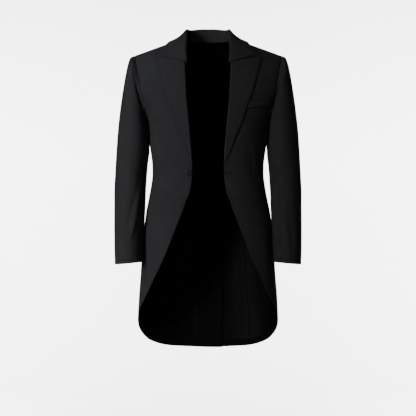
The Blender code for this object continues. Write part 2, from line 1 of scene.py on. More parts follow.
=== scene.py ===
"""Looks of the black morning coat: thin cloth shells, lining, stitching, button and buttonhole.

Tables are in millimetres and degrees, as in the part's source, and the meshes are in metres.
"""

import math

import bpy
import numpy as np
from mathutils import Matrix, Vector


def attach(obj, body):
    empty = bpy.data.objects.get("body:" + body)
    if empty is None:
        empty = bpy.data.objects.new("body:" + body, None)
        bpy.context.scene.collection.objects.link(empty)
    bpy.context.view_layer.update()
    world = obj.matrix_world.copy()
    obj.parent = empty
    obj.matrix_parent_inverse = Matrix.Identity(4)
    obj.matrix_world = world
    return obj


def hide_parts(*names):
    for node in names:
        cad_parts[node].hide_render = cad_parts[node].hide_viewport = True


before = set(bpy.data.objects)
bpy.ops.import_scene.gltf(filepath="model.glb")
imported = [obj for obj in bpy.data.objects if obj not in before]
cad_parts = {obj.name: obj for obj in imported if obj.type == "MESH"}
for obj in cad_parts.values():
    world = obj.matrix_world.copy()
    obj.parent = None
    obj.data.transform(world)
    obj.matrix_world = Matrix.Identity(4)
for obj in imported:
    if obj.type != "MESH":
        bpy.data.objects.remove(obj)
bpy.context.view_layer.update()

MM = 0.001
SIDES = ("left", "right")
MIRROR = np.array([-1.0, 1.0, 1.0])

# Sizes shared with the solids
WALL = 2.0
RIDGE_TOP = 0.05
SQUARENESS = 2.3
RIDGE_ROUNDING = 40.0
UNDERARM = 360.0
UNDERARM_HEIGHT = -262.0
SHOULDER = 235.0
SHOULDER_HEIGHT = -38.0
ARMHOLE_LEAN = 0.2
NAPE_LEVEL = 60.0
BACK_SEAM_TOP = 250.0
WAIST_CORNER = 528.0
LAPEL_LIFT = 4.6
LAPEL_ROLL = 5.8
BREAK_HEIGHT = -382.0
BREAK_EASE = 50.0
# Turn of the lapel at its roll line, round above and flat at the break: (x, lift)
TURN_ROUND = [(0, -1.2), (-0.2, 1.0), (0.35, 3.2), (1.5, 4.9), (3.2, 5.8)]
TURN_FLAT = [(0, 4.6), (0.7, 4.95), (1.4, 5.25), (2.2, 5.5), (3.2, 5.8)]
VENT_TOP = 545.0
VENT_UNDERLAP = 38.0
VENT_STEP = 3.0
UNDERLAP_ROOT = 0.1
BUTTON_SHANK = 0.9
BUTTON_PLACE = (-58.0, -416.0)
BUTTONHOLE_PLACE = (60.0, -416.0)

# Rings around the body from the shoulders' ridge down, one row a level
RING_COLUMNS = ("level", "height", "slope", "half", "front", "mid", "back")
RINGS = [
    (0, 36.4, 0.370, 250, 7.85, 8, 8.15), (4, 36.2, 0.370, 250, 3, 8, 13),
    (12, 34.8, 0.370, 250, -6, 8, 22), (25, 29.4, 0.370, 251, -19, 8, 35),
    (50, 14.8, 0.365, 252, -40, 7, 57), (90, -15.4, 0.345, 253, -65, 6, 80),
    (140, -58, 0.295, 254, -87, 5, 101), (200, -111, 0.215, 250, -103, 3, 115),
    (260, -166, 0.125, 232, -112, 2, 122), (310, -214, 0.050, 208, -117, 1, 123),
    (360, -262, 0, 190.2, -119, 0, 121), (428, -330, 0, 185.2, -118, 0, 114),
    (500, -402, 0, 177.8, -113, 0, 104), (514, -416, 0, 177.8, -112, 0, 103),
    (552, -454, 0, 182.2, -112, 0, 105), (598, -500, 0, 190.6, -114, 0, 112),
    (642, -544, 0, 199.5, -116, 1, 120), (698, -600, 0, 207, -118, 2, 127),
    (768, -670, 0, 212.7, -120, 4, 133), (821, -723, 0, 215.8, -121, 5, 136),
    (898, -800, 0, 221.3, -122, 7, 139), (998, -900, 0, 226, -123, 9, 142),
    (1100, -1002, 0, 228.5, -124, 10, 144),
]
# Lines on the front, from the top down, and the gorge from the neck out: (x, height)
FRONT_EDGE = [
    (88, 14.5), (82.5, 0), (79.3, -30), (75.4, -68), (72.5, -118), (69.1, -179), (60.6, -269),
    (53.8, -345), (51.3, -370), (49.4, -386), (49.7, -419), (52.6, -448), (58, -478), (65.5, -497),
]
ROLL = [
    (71.8, -69), (69.2, -118), (65.8, -179), (57.3, -269), (50.7, -345), (48.2, -380),
]
LAPEL_EDGE = [
    (171, -44.6), (154.5, -97), (135.7, -169), (124, -197), (105.5, -253), (86, -300), (62.5, -361),
    (53.5, -380),
]
GORGE = [
    (71.8, -69), (112, -56.6), (171, -44.6),
]
# Hem and waist seam, from the front edge back: (angle, height)
HEM = [
    (17.8, -500), (20.2, -531), (24.2, -569), (28.8, -612), (35.5, -667), (41.9, -709),
    (48.6, -745), (56.6, -786), (65.4, -819), (76, -848), (84, -868), (90, -884), (96, -899),
    (103, -915), (113.5, -935), (125, -955), (150, -977), (180, -984),
]
WAIST = [
    (17, -497.5), (40, -480), (69, -452), (95, -438), (120, -432), (150, -430),
]
# Seams of back and side, from the top down: (level, angle)
BACK_SEAM = [
    (300, 133), (350, 140), (400, 145), (470, 150), (528, 152), (620, 150), (1100, 146),
]
SIDE_SEAM = [
    (360, 93), (540, 90),
]
# Neck behind the shoulders: (level, x)
NECK = [
    (0, 88), (14, 82), (34, 66), (50, 38), (60, 0.2),
]
# Rings of the sleeve below the armhole: (outer x, outer height, inner x, inner height, front, back)
SLEEVE = [
    (249, -44.5, 191.2, -266, -59, 71), (256, -62, 190.5, -273, -65, 75),
    (266, -110, 189.6, -285, -71, 77), (274.8, -165, 188.4, -301, -75, 77),
    (282.8, -225, 187.1, -321, -75, 75), (289.4, -290, 187.4, -346, -74, 71),
    (293.2, -350, 190.5, -376, -73, 66), (296.4, -410, 194.2, -416, -73, 61),
    (299.3, -480, 198.0, -482, -76, 54), (299, -545, 200, -545, -83, 43),
    (298.2, -610, 204.6, -608, -93, 28.5), (297, -660, 206, -657, -101, 16),
    (295, -703, 207.5, -695, -106, 3.5),
]
# Way down the sleeve to the armhole and to each ring
SLEEVE_WAY = (0, 12, 32, 80, 136, 196, 262, 322, 382, 452, 517, 582, 632, 674)
FRONT_ARM_SEAM = 118.0
BACK_ARM_SEAM = 262.0
# Sections of the collar from its left end to the nape
COLLAR_COLUMNS = ("stand_x", "stand_over", "fold_x", "fold_over", "fold_lift",
                  "edge_x", "edge_over", "edge_lift", "curl")
COLLAR = [
    (73.4, -137.4, 70, -137.4, 5.4, 151, -76.7, 4.6, 1.0),
    (76.8, -90, 72, -88, 7.4, 142, -57, 4.6, 1.2), (80.2, -44, 69, -42, 12, 133.5, -35, 4.4, 1.8),
    (85.6, 0, 63.6, 0, 23.2, 121, 0, 4, 2.5), (79.6, 12.6, 59.5, 10.8, 23.9, 109, 24, 3.8, 2.1),
    (63.5, 33.2, 47.6, 21.2, 26.1, 85, 50, 3.4, 1.7),
    (36.5, 48, 23.7, 28.8, 27.2, 47, 70, 3.2, 1.4), (0, 57.5, 0, 32.1, 27.3, 0, 77, 3.2, 1.3),
]
FOLD_WIDTH = 6.4
FOLD_TURN = 165.0
WELT = {"x_inner": 101.0, "x_outer": 195.0, "top_inner": -193.5, "top_outer": -176.5, "depth": 26.0,
        "length": 95.0, "lift": 1.95, "thick": 1.4}

# Creases of the cloth: (angle above, angle below, level above, level below, width, depth)
SKIRT_CREASES = {
    "left": [
        (60, 56, 650, 905, 8, 1.7), (83, 79, 600, 930, 7, -2.0), (109, 114, 625, 1010, 9, 2.6),
        (131, 127, 590, 1030, 8, -2.3), (165, 161, 650, 1070, 9, 1.9), (38, 47, 610, 700, 5, -0.7),
        (71, 68, 560, 760, 5, 1.0), (147, 150, 720, 1060, 5, 1.1),
    ],
    "right": [
        (65, 61, 630, 890, 9, 1.5), (86, 77, 610, 950, 8, -2.2), (106, 110, 610, 990, 8, 2.2),
        (134, 130, 620, 1050, 9, -2.0), (162, 164, 640, 1050, 8, 2.1), (34, 44, 600, 690, 5, 0.6),
        (74, 73, 570, 740, 5, -0.9), (150, 147, 700, 1040, 5, -1.0),
    ],
}
BODY_CREASES = {
    "left": [
        (36, 57, 396, 560, 6, -1.3), (45, 71, 420, 556, 5, 1.0), (64, 84, 380, 500, 5, -0.9),
        (58, 66, 300, 372, 6, 1.1), (30, 40, 300, 420, 6, 0.7), (128, 136, 290, 450, 7, 1.2),
        (156, 150, 330, 520, 6, -1.1), (168, 171, 190, 330, 7, 0.9),
    ],
    "right": [
        (33, 54, 400, 556, 6, -1.1), (47, 74, 410, 560, 6, 1.3), (66, 80, 386, 510, 5, -1.0),
        (55, 62, 290, 366, 6, 1.2), (27, 36, 320, 430, 6, -0.7), (126, 138, 300, 460, 7, 1.3),
        (158, 153, 340, 530, 6, -1.0), (170, 166, 200, 350, 7, 0.8),
    ],
}
# Creases of the arm: (turn above, turn below, ring above, ring below, width, depth)
ARM_CREASES = {
    "right": [
        (137, 92, 8.2, 11.7, 10, 3.0), (121, 75, 8.6, 11.5, 9, -2.4), (126, 98, 9.8, 11.4, 7, 1.8),
        (148, 118, 6.6, 9.4, 10, -2.0), (160, 128, 6.0, 8.6, 9, 2.0), (62, 30, 3.0, 7.4, 15, 1.8),
        (300, 338, 4.0, 9.0, 15, 2.2), (276, 308, 5.0, 9.8, 12, -2.2), (222, 200, 7.0, 9.2, 9, 1.8),
        (205, 190, 7.6, 9.8, 8, -1.6), (96, 92, 11.2, 12.9, 9, -0.8),
        (335, 352, 8.2, 12.4, 12, -1.2),
    ],
    "left": [
        (108, 86, 8.6, 12.6, 8, 1.9), (88, 70, 9.2, 12.8, 8, -1.6), (66, 54, 8.4, 12.2, 9, 1.3),
        (146, 120, 6.8, 9.2, 10, -1.8), (158, 130, 6.2, 8.8, 9, 1.8), (58, 34, 3.2, 7.0, 15, 1.6),
        (304, 334, 4.2, 9.2, 15, 2.0), (280, 304, 5.4, 9.9, 12, -2.0), (218, 202, 7.2, 9.4, 9, 1.6),
        (204, 192, 7.8, 9.6, 8, -1.4), (40, 30, 7.4, 10.4, 10, 1.0),
        (330, 350, 8.0, 12.0, 12, -1.0),
    ],
}

# Rises and hollows beside the armholes: (middle angle or turn, width, above, below, height)
BODY_SWELLS = [(82, 6, 335, 450, 1.6)]
SLEEVE_SWELLS = [
    (198, 20, 0.6, 6.4, 1.0), (160, 16, 0.6, 6.4, -1.2), (172, 22, 10.1, 12.2, 1.2),
]
# Where the creases die away: (middle angle or turn, width, above, below, share lost)
BODY_CALM = [(92, 13, 330, 500, 1.0)]
SLEEVE_CALM = [(180, 24, 0.6, 6.4, 1.0)]
# Hollows in the front of the sleeve head: (turn, width, ring, reach, depth)
CAP_HOLLOWS = [(52, 27, 1.1, 0.8, 4.2), (97, 18, 1.3, 0.8, 3.15)]
# Soft ridge on the sleeve head, beside its seam: (ring, reach, height)
ROPING = (0.55, 0.35, 0.9)

# Fine unevenness of the cloth
RIPPLE_WAVES = (34, 47, 61, 88, 120, 170)
RIPPLE_SHARE = 620.0
DEGREE_RUN = 3.1
BODY_RIPPLE = 0.55
BODY_SEEDS = {"left": 5, "right": 9}
SLEEVE_RIPPLE = 0.5
SLEEVE_SEEDS = {"left": 21, "right": 27}
RING_SPACING = 52.0
CREASE_EASE = 0.3
SHOULDER_CALM = 20.0
SHOULDER_EASE = 120.0
SHOULDER_RIPPLE = 0.15
CENTRE_CALM = 9.0

# Steps beside a point for the direction of a face there
NEAR_ANGLE = 0.2
NEAR_LEVEL = 0.5
NEAR_TURN = 1.0
NEAR_RING = 0.05

# Cloth edges, dart, facings and lining
EDGE_ROUND = 1.1
EDGE_SINK = 0.36
EDGE_STEPS = (0.0, 0.12, 0.35, 0.7, 1.15)
DART_SHARE = 0.47
DART_STEPS = (-2.6, -1.6, -0.9, -0.4, 0.0, 0.4, 0.9, 1.6, 2.6)
DART_DEPTH = 0.55
DART_WIDTH = 0.75
DART_TOP = 366.0
DART_EASE = 24.0
FACING_WIDTH = 78.0
FACING_SWAY = 14.0
FACING_WAVE = 90.0
SKIRT_FACING = 30.0
CUFF_FACING = 30.0
HEM_TURN = 24.0
LINING_STEP = 0.5
LINING_EASE = 3.0

# Lengths that set how many cells a piece has down and across
CELL = 4.2
FOREPART_WIDTH = 175.0
UNDERARM_TO_WAIST = 180.0
UNDERARM_TO_FRONT_WAIST = 238.0
SIDE_BODY_LENGTH = 220.0
SIDE_BODY_WIDTH = 120.0
BACK_WIDTH = 150.0
BACK_SKIRT_LENGTH = 510.0
SKIRT_LENGTH = 480.0
SKIRT_WIDTH = 380.0
TOP_SLEEVE_WIDTH = 250.0
UNDER_SLEEVE_WIDTH = 150.0
LAPEL_LENGTH = 380.0
LAPEL_WIDTH = 95.0
COLLAR_STAND = 30.0
COLLAR_FALL = 60.0

# Skirt corner, tail and vent
SKIRT_CORNER = 86.0
TAIL_LEVEL = 1070.0
VENT_EASE = 24.0
VENT_OPENING = 14.0
VENT_DEGREE = 3.2
UNDERLAP_START = 180.2

# Borders of a piece: a free one is 0 and a seam with dark painted shade 1; a pressed and a fine
# seam show less
PRESSED = 0.5
FINE = 0.8
FINE_COVER = 0.9
FAR = 1000.0
# How far out the gorge seam runs from the middle, before collar and lapel part
GORGE_END = 115.0

# Weave and stitching, in metres
TWILL_PITCH = 0.0011
SATIN_PITCH = 0.0007
STITCH_PITCH = 0.0062
STITCH_LINE = 0.0045
CUFF_LINE = 0.0135

# Button and buttonhole, in metres
BUTTON_RADIUS = 0.010
BUTTON_THICKNESS = 0.0030
BUTTON_INSETS = ((0.09, 0.0008), (0.09, 0.0002), (0.10, -0.0007), (0.10, -0.0006), (0.12, 0.0001))
HOLE_RADIUS = 0.00105
HOLE_REACH = 0.0019
SHANK_RADIUS = 0.0011
CROSS_REACH = 0.00134
EYE_PLACE = -0.0075
EYE_RADIUS = 0.0021
EYE_OPENING = 0.42
SLIT_START = EYE_PLACE + 0.0026
SLIT_END = 0.0125
SLIT_HALF = 0.00085

# Camera and room
CAMERA_DISTANCE = 4.5
PICTURE_WIDTH = 1.3312
CAMERA_HEIGHT = -0.525
SENSOR = 36.0
FLOOR = -1.62
FLOOR_TURN = 1.4
FLOOR_START = -3.4
FLOOR_HALF = 1.7
WALL_PLACE = 5.2
WALL_TOP = 4.4


def column(table, index):
    """One column of a table of rows."""
    return np.array([row[index] for row in table], float)


def smooth(xs, ys, at):
    """Monotone cubic curve through the points (xs, ys), read at the places in at."""
    at = np.clip(np.asarray(at, float), xs[0], xs[-1])
    step = np.diff(xs)
    rise = np.diff(ys) / step
    grade = np.zeros(len(xs))
    for k in range(1, len(xs) - 1):
        if rise[k - 1] * rise[k] > 0:
            before = 2 * step[k] + step[k - 1]
            after = step[k] + 2 * step[k - 1]
            grade[k] = (before + after) / (before / rise[k - 1] + after / rise[k])
    grade[0] = rise[0]
    grade[-1] = rise[-1]
    k = np.clip(np.searchsorted(xs, at, side="right") - 1, 0, len(xs) - 2)
    u = (at - xs[k]) / step[k]
    return ((2 * u ** 3 - 3 * u ** 2 + 1) * ys[k]
            + (u ** 3 - 2 * u ** 2 + u) * step[k] * grade[k]
            + (3 * u ** 2 - 2 * u ** 3) * ys[k + 1]
            + (u ** 3 - u ** 2) * step[k] * grade[k + 1])


RING_LEVELS = column(RINGS, 0)
FINE_LEVELS = np.arange(0, 1100, 0.5)


def ring(name, level):
    """One measure of the body's rings at a level."""
    return smooth(RING_LEVELS, column(RINGS, RING_COLUMNS.index(name)), level)


FINE_HEIGHTS = ring("height", FINE_LEVELS)
FINE_SLOPES = ring("slope", FINE_LEVELS)


def shoulder_run(x):
    """Way out along the shoulder that its slope acts on, rounded at the neck."""
    return np.sqrt(x ** 2 + RIDGE_ROUNDING ** 2) - RIDGE_ROUNDING


def bare_body(angle, level):
    """Smooth form of the body: angle 0 is the middle of the front and 180 that of the back."""
    turn = np.radians(np.asarray(angle, float))
    side = np.sin(turn)
    ahead = np.cos(turn)
    x = ring("half", level) * np.sign(side) * np.abs(side) ** (2 / SQUARENESS)
    mid = ring("mid", level)
    reach = np.where(ahead > 0, ring("front", level), ring("back", level)) - mid
    y = mid + reach * np.abs(ahead) ** (2 / SQUARENESS)
    z = ring("height", level) - ring("slope", level) * shoulder_run(x)
    return np.stack([x, y, z], -1)


def unit(vectors):
    return vectors / np.linalg.norm(vectors, axis=-1, keepdims=True)


def body_normal(angle, level):
    """Direction off the smooth form of the body."""
    above = np.maximum(level - NEAR_LEVEL, 0)
    across = bare_body(angle + NEAR_ANGLE, level) - bare_body(angle - NEAR_ANGLE, level)
    down = bare_body(angle, level + NEAR_LEVEL) - bare_body(angle, above)
    return unit(np.cross(down, across))


def hump(at, middle, width):
    """Smooth rise from 0 to 1 and back around a middle."""
    return np.exp(-((at - middle) / width) ** 2)


def soft(share):
    """Share from 0 to 1 with a gentle start and end."""
    return share * share * (3 - 2 * share)


def window(at, start, end):
    """1 between start and end, dying away to 0 at both."""
    share = (at - start) / (end - start)
    return soft(np.clip(np.minimum(share, 1 - share) / CREASE_EASE, 0, 1))


def ripple(angle, level, seed):
    """Low unevenness of pressed cloth: a few long waves of uneven direction."""
    rng = np.random.default_rng(seed)
    total = np.zeros(np.broadcast(angle, level).shape)
    x = np.asarray(angle) * DEGREE_RUN
    for wave in RIPPLE_WAVES:
        heading = rng.uniform(-0.55, 0.55)
        phase = rng.uniform(0, 2 * math.pi)
        drift = 0.8 * np.sin(np.asarray(level) / (wave * 1.7) + phase)
        total += wave / RIPPLE_SHARE * np.sin((x * math.cos(heading) + level * math.sin(heading))
                                              * 2 * math.pi / wave + drift + phase)
    return total


def creases(table, across, down, whole_turn=False):
    """Sum of a table's slanting creases."""
    total = np.zeros(np.broadcast(across, down).shape)
    for above, below, start, end, width, depth in table:
        share = np.clip((down - start) / (end - start), 0, 1)
        apart = across - (above + (below - above) * share)
        if whole_turn:
            apart = (apart + 180) % 360 - 180
        total += depth * hump(apart, 0, width) * window(down, start, end)
    return total


def swells(table, across, down):
    """Sum of a table's upright rises."""
    total = np.zeros(np.broadcast(across, down).shape)
    for middle, width, start, end, height in table:
        total += height * hump(across, middle, width) * window(down, start, end)
    return total


def relief(side, angle, level):
    """How far the cloth of one side stands off its smooth form."""
    total = creases(SKIRT_CREASES[side], angle, level) + creases(BODY_CREASES[side], angle, level)
    calm = np.clip((level - SHOULDER_CALM) / SHOULDER_EASE, SHOULDER_RIPPLE, 1)
    total = total + BODY_RIPPLE * calm * ripple(angle, level, BODY_SEEDS[side])
    total = total * np.clip((180 - angle) / CENTRE_CALM, 0, 1)
    return total * (1 - swells(BODY_CALM, angle, level)) + swells(BODY_SWELLS, angle, level)


def body(side, angle, level, lift=0.0):
    """Outer face of the body's cloth, with its creases."""
    height = relief(side, angle, level) + lift
    return bare_body(angle, level) + body_normal(angle, level) * height[..., None]


def front_angle(x, level):
    """Angle of a place on the front, from its width and level."""
    share = np.clip(np.abs(x) / ring("half", level), 0, 1)
    return np.degrees(np.arcsin(share ** (SQUARENESS / 2)))


def front_level(x, height):
    """Level of a place on the front, from its width and height."""
    found = [np.interp(-h, FINE_SLOPES * shoulder_run(q) - FINE_HEIGHTS, FINE_LEVELS)
             for q, h in zip(np.ravel(x), np.ravel(height))]
    return np.array(found).reshape(np.shape(x))


def on_front(side, x, height, lift=0.0):
    """Point on one side's front cloth, from its width and height."""
    level = front_level(x, height)
    return body(side, front_angle(x, level), level, lift)


def on_shoulder(x, over, lift):
    """Place on the smooth form; over is the level behind the shoulder's ridge, or below 0 ahead."""
    level = np.abs(over)
    angle = front_angle(x, level)
    angle = np.where(np.asarray(over) > 0, 180 - angle, angle)
    return bare_body(angle, level) + body_normal(angle, level) * np.asarray(lift)[..., None]


def armhole_angle(level):
    """Angle of the armhole seam, which leans out with the height, closed in on step by step."""
    run = SHOULDER
    for _ in range(12):
        height = ring("height", level) - ring("slope", level) * shoulder_run(run)
        run = SHOULDER + ARMHOLE_LEAN * (height - SHOULDER_HEIGHT)
    return front_angle(run, level)


EDGE_LEVELS = front_level(column(FRONT_EDGE, 0), column(FRONT_EDGE, 1))
EDGE_ANGLES = front_angle(column(FRONT_EDGE, 0), EDGE_LEVELS)


def front_edge_angle(level):
    return smooth(EDGE_LEVELS, EDGE_ANGLES, level)


def hem_level(angle):
    return UNDERARM + UNDERARM_HEIGHT - smooth(column(HEM, 0), column(HEM, 1), angle)


def waist_level(angle):
    return UNDERARM + UNDERARM_HEIGHT - smooth(column(WAIST, 0), column(WAIST, 1), angle)


def back_seam_angle(level):
    levels = np.append(BACK_SEAM_TOP, column(BACK_SEAM, 0))
    angles = np.append(180 - armhole_angle(BACK_SEAM_TOP), column(BACK_SEAM, 1))
    return smooth(levels, angles, level)


def side_seam_angle(level):
    return smooth(column(SIDE_SEAM, 0), column(SIDE_SEAM, 1), level)


def shares(count):
    """Even shares from 0 to 1."""
    return np.linspace(0, 1, count)


def edged(length, extra=()):
    """Shares along a strip of this length: even cells, with fine ones at both ends."""
    fine = np.array(EDGE_STEPS) / length
    start = fine[-1]
    even = np.linspace(start, 1 - start, max(4, int(length / CELL)))[1:-1]
    found = np.concatenate([fine, even, 1 - fine, np.asarray(extra)])
    return np.unique(np.round(found, 6))


class Wire:
    """A value in a material's node tree, with arithmetic that adds Math nodes."""

    def __init__(self, finish, socket):
        self.finish = finish
        self.socket = socket

    def math(self, operation, *others):
        return self.finish.node("ShaderNodeMath", {"operation": operation}, [self, *others])

    def __add__(self, other):
        return self.math("ADD", other)

    def __radd__(self, other):
        return self.math("ADD", other)

    def __sub__(self, other):
        return self.math("SUBTRACT", other)

    def __rsub__(self, other):
        return self.finish.node("ShaderNodeMath", {"operation": "SUBTRACT"}, [other, self])

    def __mul__(self, other):
        return self.math("MULTIPLY", other)

    def sine(self):
        return self.math("SINE")

    def size(self):
        return self.math("ABSOLUTE")

    def clamp(self):
        return self.finish.node("ShaderNodeClamp", {}, [self, 0.0, 1.0])

    def smooth_step(self, low, high):
        return self.finish.node("ShaderNodeMapRange", {"interpolation_type": "SMOOTHSTEP"},
                                [self, low, high, 0.0, 1.0])


class Finish:
    """A material around one Principled shader."""

    def __init__(self, name, **constants):
        self.material = bpy.data.materials.new(name)
        self.material.use_nodes = True
        self.tree = self.material.node_tree
        self.shader = self.tree.nodes["Principled BSDF"]
        for key, value in constants.items():
            self.shader.inputs[key.replace("_", " ").title()].default_value = value

    def node(self, kind, settings, inputs):
        """A new node with its settings and inputs, as a wire from its first output."""
        made = self.tree.nodes.new(kind)
        for key, value in settings.items():
            setattr(made, key, value)
        named = inputs.items() if isinstance(inputs, dict) else enumerate(inputs)
        for key, value in named:
            self.join(value, made.inputs[key])
        return Wire(self, made.outputs[0])

    def join(self, value, socket):
        if isinstance(value, Wire):
            self.tree.links.new(value.socket, socket)
        else:
            socket.default_value = value

    def feed(self, key, value):
        self.join(value, self.shader.inputs[key])

    def place(self, uv_map):
        """A UV map of the piece, whole and as its two parts."""
        uv = self.node("ShaderNodeUVMap", {"uv_map": uv_map}, [])
        split = self.tree.nodes.new("ShaderNodeSeparateXYZ")
        self.tree.links.new(uv.socket, split.inputs[0])
        return uv, Wire(self, split.outputs[0]), Wire(self, split.outputs[1])

    def object_place(self):
        return Wire(self, self.tree.nodes.new("ShaderNodeTexCoord").outputs["Object"])

    def noise(self, vector, scale, detail=3.0, roughness=0.55):
        return self.node("ShaderNodeTexNoise", {}, {"Vector": vector, "Scale": scale,
                                                    "Detail": detail, "Roughness": roughness})

    def mix(self, factor, first, second):
        made = self.tree.nodes.new("ShaderNodeMix")
        made.data_type = "RGBA"
        self.join(factor, made.inputs[0])
        self.join(first, made.inputs[6])
        self.join(second, made.inputs[7])
        return Wire(self, made.outputs[2])

    def bump(self, height, strength, distance):
        return self.node("ShaderNodeBump", {}, {"Height": height, "Strength": strength,
                                                "Distance": distance})


def twill(u, v, pitch):
    """Diagonal ribs crossed by the finer beat of the yarns, from 0 to 1."""
    turn = 2 * math.pi / pitch
    rib = (u * turn + v * turn * 1.6).sine()
    yarn = (u * turn * 1.9 - v * turn * 1.2).sine()
    return (rib * 0.34 + yarn * 0.16 + 0.5).clamp()


def wool(name, dark, light, line_at=None):
    """Black wool: fine twill, lint and mottling, painted shade in the seams,
    a little paler at free edges.

    line_at is how far a line of stitching runs from a free edge.
    """
    finish = Finish(name, metallic=0.0)
    finish.shader.inputs["Specular IOR Level"].default_value = 0.02
    uv, u, v = finish.place("cloth")
    _, along, inward = finish.place("edge")
    _, sewn, _ = finish.place("seam")
    weave = twill(u, v, TWILL_PITCH)
    cloud = finish.noise(uv, 9.0, 4.0)
    fibre = finish.noise(uv, 420.0, 2.0)
    fleck = finish.noise(uv, 1500.0, 1.0).smooth_step(0.66, 0.74)
    # Painted shade in the seams: the colour runs to near black within 1.6 mm of a sewn border
    seam_shade = 1 - sewn.smooth_step(0.0003, 0.0016)
    pressed = 1 - inward.smooth_step(0.0004, 0.0016)
    tone = (cloud * 0.55 + weave * 0.3 + fibre * 0.25 + pressed * 0.15 - 0.1).clamp()
    colour = finish.mix(tone, (*dark, 1), (*light, 1))
    colour = finish.mix(fleck * 0.08, colour, (0.05, 0.05, 0.055, 1))
    # Mix in the painted seam shade
    colour = finish.mix(seam_shade * 0.85, colour, (0.0006, 0.0006, 0.0007, 1))
    height = weave * 0.5 + fibre * 0.35 + cloud * 0.4
    rough = 0.76 + cloud * 0.12 + seam_shade * 0.1
    if line_at is not None:
        line = 1 - (inward - line_at).size().smooth_step(0.00035, 0.0011)
        beat = (along * (2 * math.pi / STITCH_PITCH)).sine().smooth_step(0.15, 0.6)
        height = height - line * (beat + 0.4)
        colour = finish.mix(line * (beat * 0.35 + 0.3), colour, (0.002, 0.002, 0.0025, 1))
    finish.feed("Base Color", colour)
    finish.feed("Roughness", rough.clamp())
    finish.feed("Normal", finish.bump(height, 0.55, 0.00022))
    return finish.material


def satin(name):
    """Black lining with a fine cross rib and soft streaks along the yarn.

    Its black is its own colour, made darker still as painted shade for the coat's shaded inside.
    """
    finish = Finish(name, metallic=0.0)
    finish.shader.inputs["Specular IOR Level"].default_value = 0.04
    uv, u, v = finish.place("cloth")
    rib = (v * (2 * math.pi / SATIN_PITCH)).sine() * 0.5 + 0.5
    drawn_out = finish.node("ShaderNodeMapping", {}, {"Vector": uv, "Scale": (160, 6, 1)})
    streak = finish.noise(drawn_out, 1.0)
    cloud = finish.noise(uv, 12.0, 3.0)
    # Near-black satin colour: the lining's own black, darkened further as painted shade
    colour = finish.mix((streak * 0.6 + cloud * 0.4).clamp(), (0.0005, 0.0005, 0.0006, 1),
                        (0.0016, 0.0016, 0.0018, 1))
    finish.feed("Base Color", colour)
    finish.feed("Roughness", 0.44 + streak * 0.14 + cloud * 0.08)
    finish.feed("Normal", finish.bump(rib * 0.4 + streak * 0.8, 0.3, 0.00025))
    return finish.material


def horn():
    """Black polished button with faint smoky streaks."""
    finish = Finish("black_horn", metallic=0.0, coat_weight=0.05, coat_roughness=0.2)
    finish.shader.inputs["Specular IOR Level"].default_value = 0.16
    place = finish.object_place()
    streak = finish.noise(place, 180.0, 4.0, 0.6)
    colour = finish.mix(streak.smooth_step(0.45, 0.75), (0.0012, 0.0012, 0.0012, 1),
                        (0.005, 0.0046, 0.0043, 1))
    finish.feed("Base Color", colour)
    finish.feed("Roughness", 0.3 + streak * 0.16)
    finish.feed("Normal", finish.bump(streak, 0.12, 0.0002))
    return finish.material


def thread():
    """Black silk with a fine grain."""
    finish = Finish("silk_thread", metallic=0.0)
    finish.shader.inputs["Specular IOR Level"].default_value = 0.15
    place = finish.object_place()
    grain = finish.noise(place, 2600.0, 2.0)
    colour = finish.mix(grain, (0.004, 0.004, 0.0045, 1), (0.012, 0.012, 0.013, 1))
    finish.feed("Base Color", colour)
    finish.feed("Roughness", 0.4 + grain * 0.2)
    finish.feed("Normal", finish.bump(grain, 0.4, 0.0001))
    return finish.material


DARK = (0.0120, 0.0122, 0.0132)
LIGHT = (0.0295, 0.0302, 0.0325)
WOOL = wool("black_wool", DARK, LIGHT)
WOOL_STITCHED = wool("black_wool_stitched", DARK, LIGHT, STITCH_LINE)
WOOL_CUFF = wool("black_wool_cuff", DARK, LIGHT, CUFF_LINE)
# The inner facing is the same wool darkened about eightfold: painted shade for the coat's shaded
# inside
FACING_PAINTED_SHADE = wool("black_facing_painted_shade", (0.0014, 0.0014, 0.0016), (0.0036, 0.0036, 0.0039))
LINING = satin("black_lining")
HORN = horn()
THREAD = thread()


def walked(grid, axis):
    """Way along the grid's lines from their start."""
    step = np.linalg.norm(np.diff(grid, axis=axis), axis=-1)
    start = np.zeros_like(np.take(grid[..., 0], [0], axis=axis))
    return np.concatenate([start, np.cumsum(step, axis=axis)], axis=axis)


def border_ways(down, across, seams):
    """Way of each point to the nearest border, along that border, to a free one and to a seam."""
    rows, columns = down.shape
    borders = np.stack([down, down[-1:] - down, across, across[:, -1:] - across])
    masks = [np.broadcast_to(np.asarray(mask, float), (size,))
             for mask, size in zip(seams, (columns, columns, rows, rows))]
    shut = np.stack([np.broadcast_to(mask[None] if k < 2 else mask[:, None], (rows, columns))
                     for k, mask in enumerate(masks)])
    along = np.where(borders.argmin(axis=0) < 2, across, down)
    free = np.where(shut == 0, borders, FAR).min(axis=0)
    faint = np.where(shut == FINE, borders + FINE_COVER, FAR)
    sewn = np.where(shut == 1, borders, faint).min(axis=0)
    return borders.min(axis=0), along, free, sewn


def shell_faces(rows, columns):
    """Faces of a closed shell: its outer grid, its inner grid turned round, and its rim."""
    count = rows * columns
    index = np.arange(count).reshape(rows, columns)
    corners = [index[:-1, :-1], index[1:, :-1], index[1:, 1:], index[:-1, 1:]]
    quads = np.stack(corners, -1).reshape(-1, 4)
    border = np.concatenate([index[0], index[1:, -1], index[-1, -2::-1], index[-2:0:-1, 0]])
    after = np.roll(border, -1)
    rim = np.stack([border, after, count + after, count + border], -1)
    return np.concatenate([quads, count + quads[:, ::-1], rim])


def placed(name, data):
    """A new object for this data, linked to the scene."""
    made = bpy.data.objects.new(name, data)
    bpy.context.collection.objects.link(made)
    return made


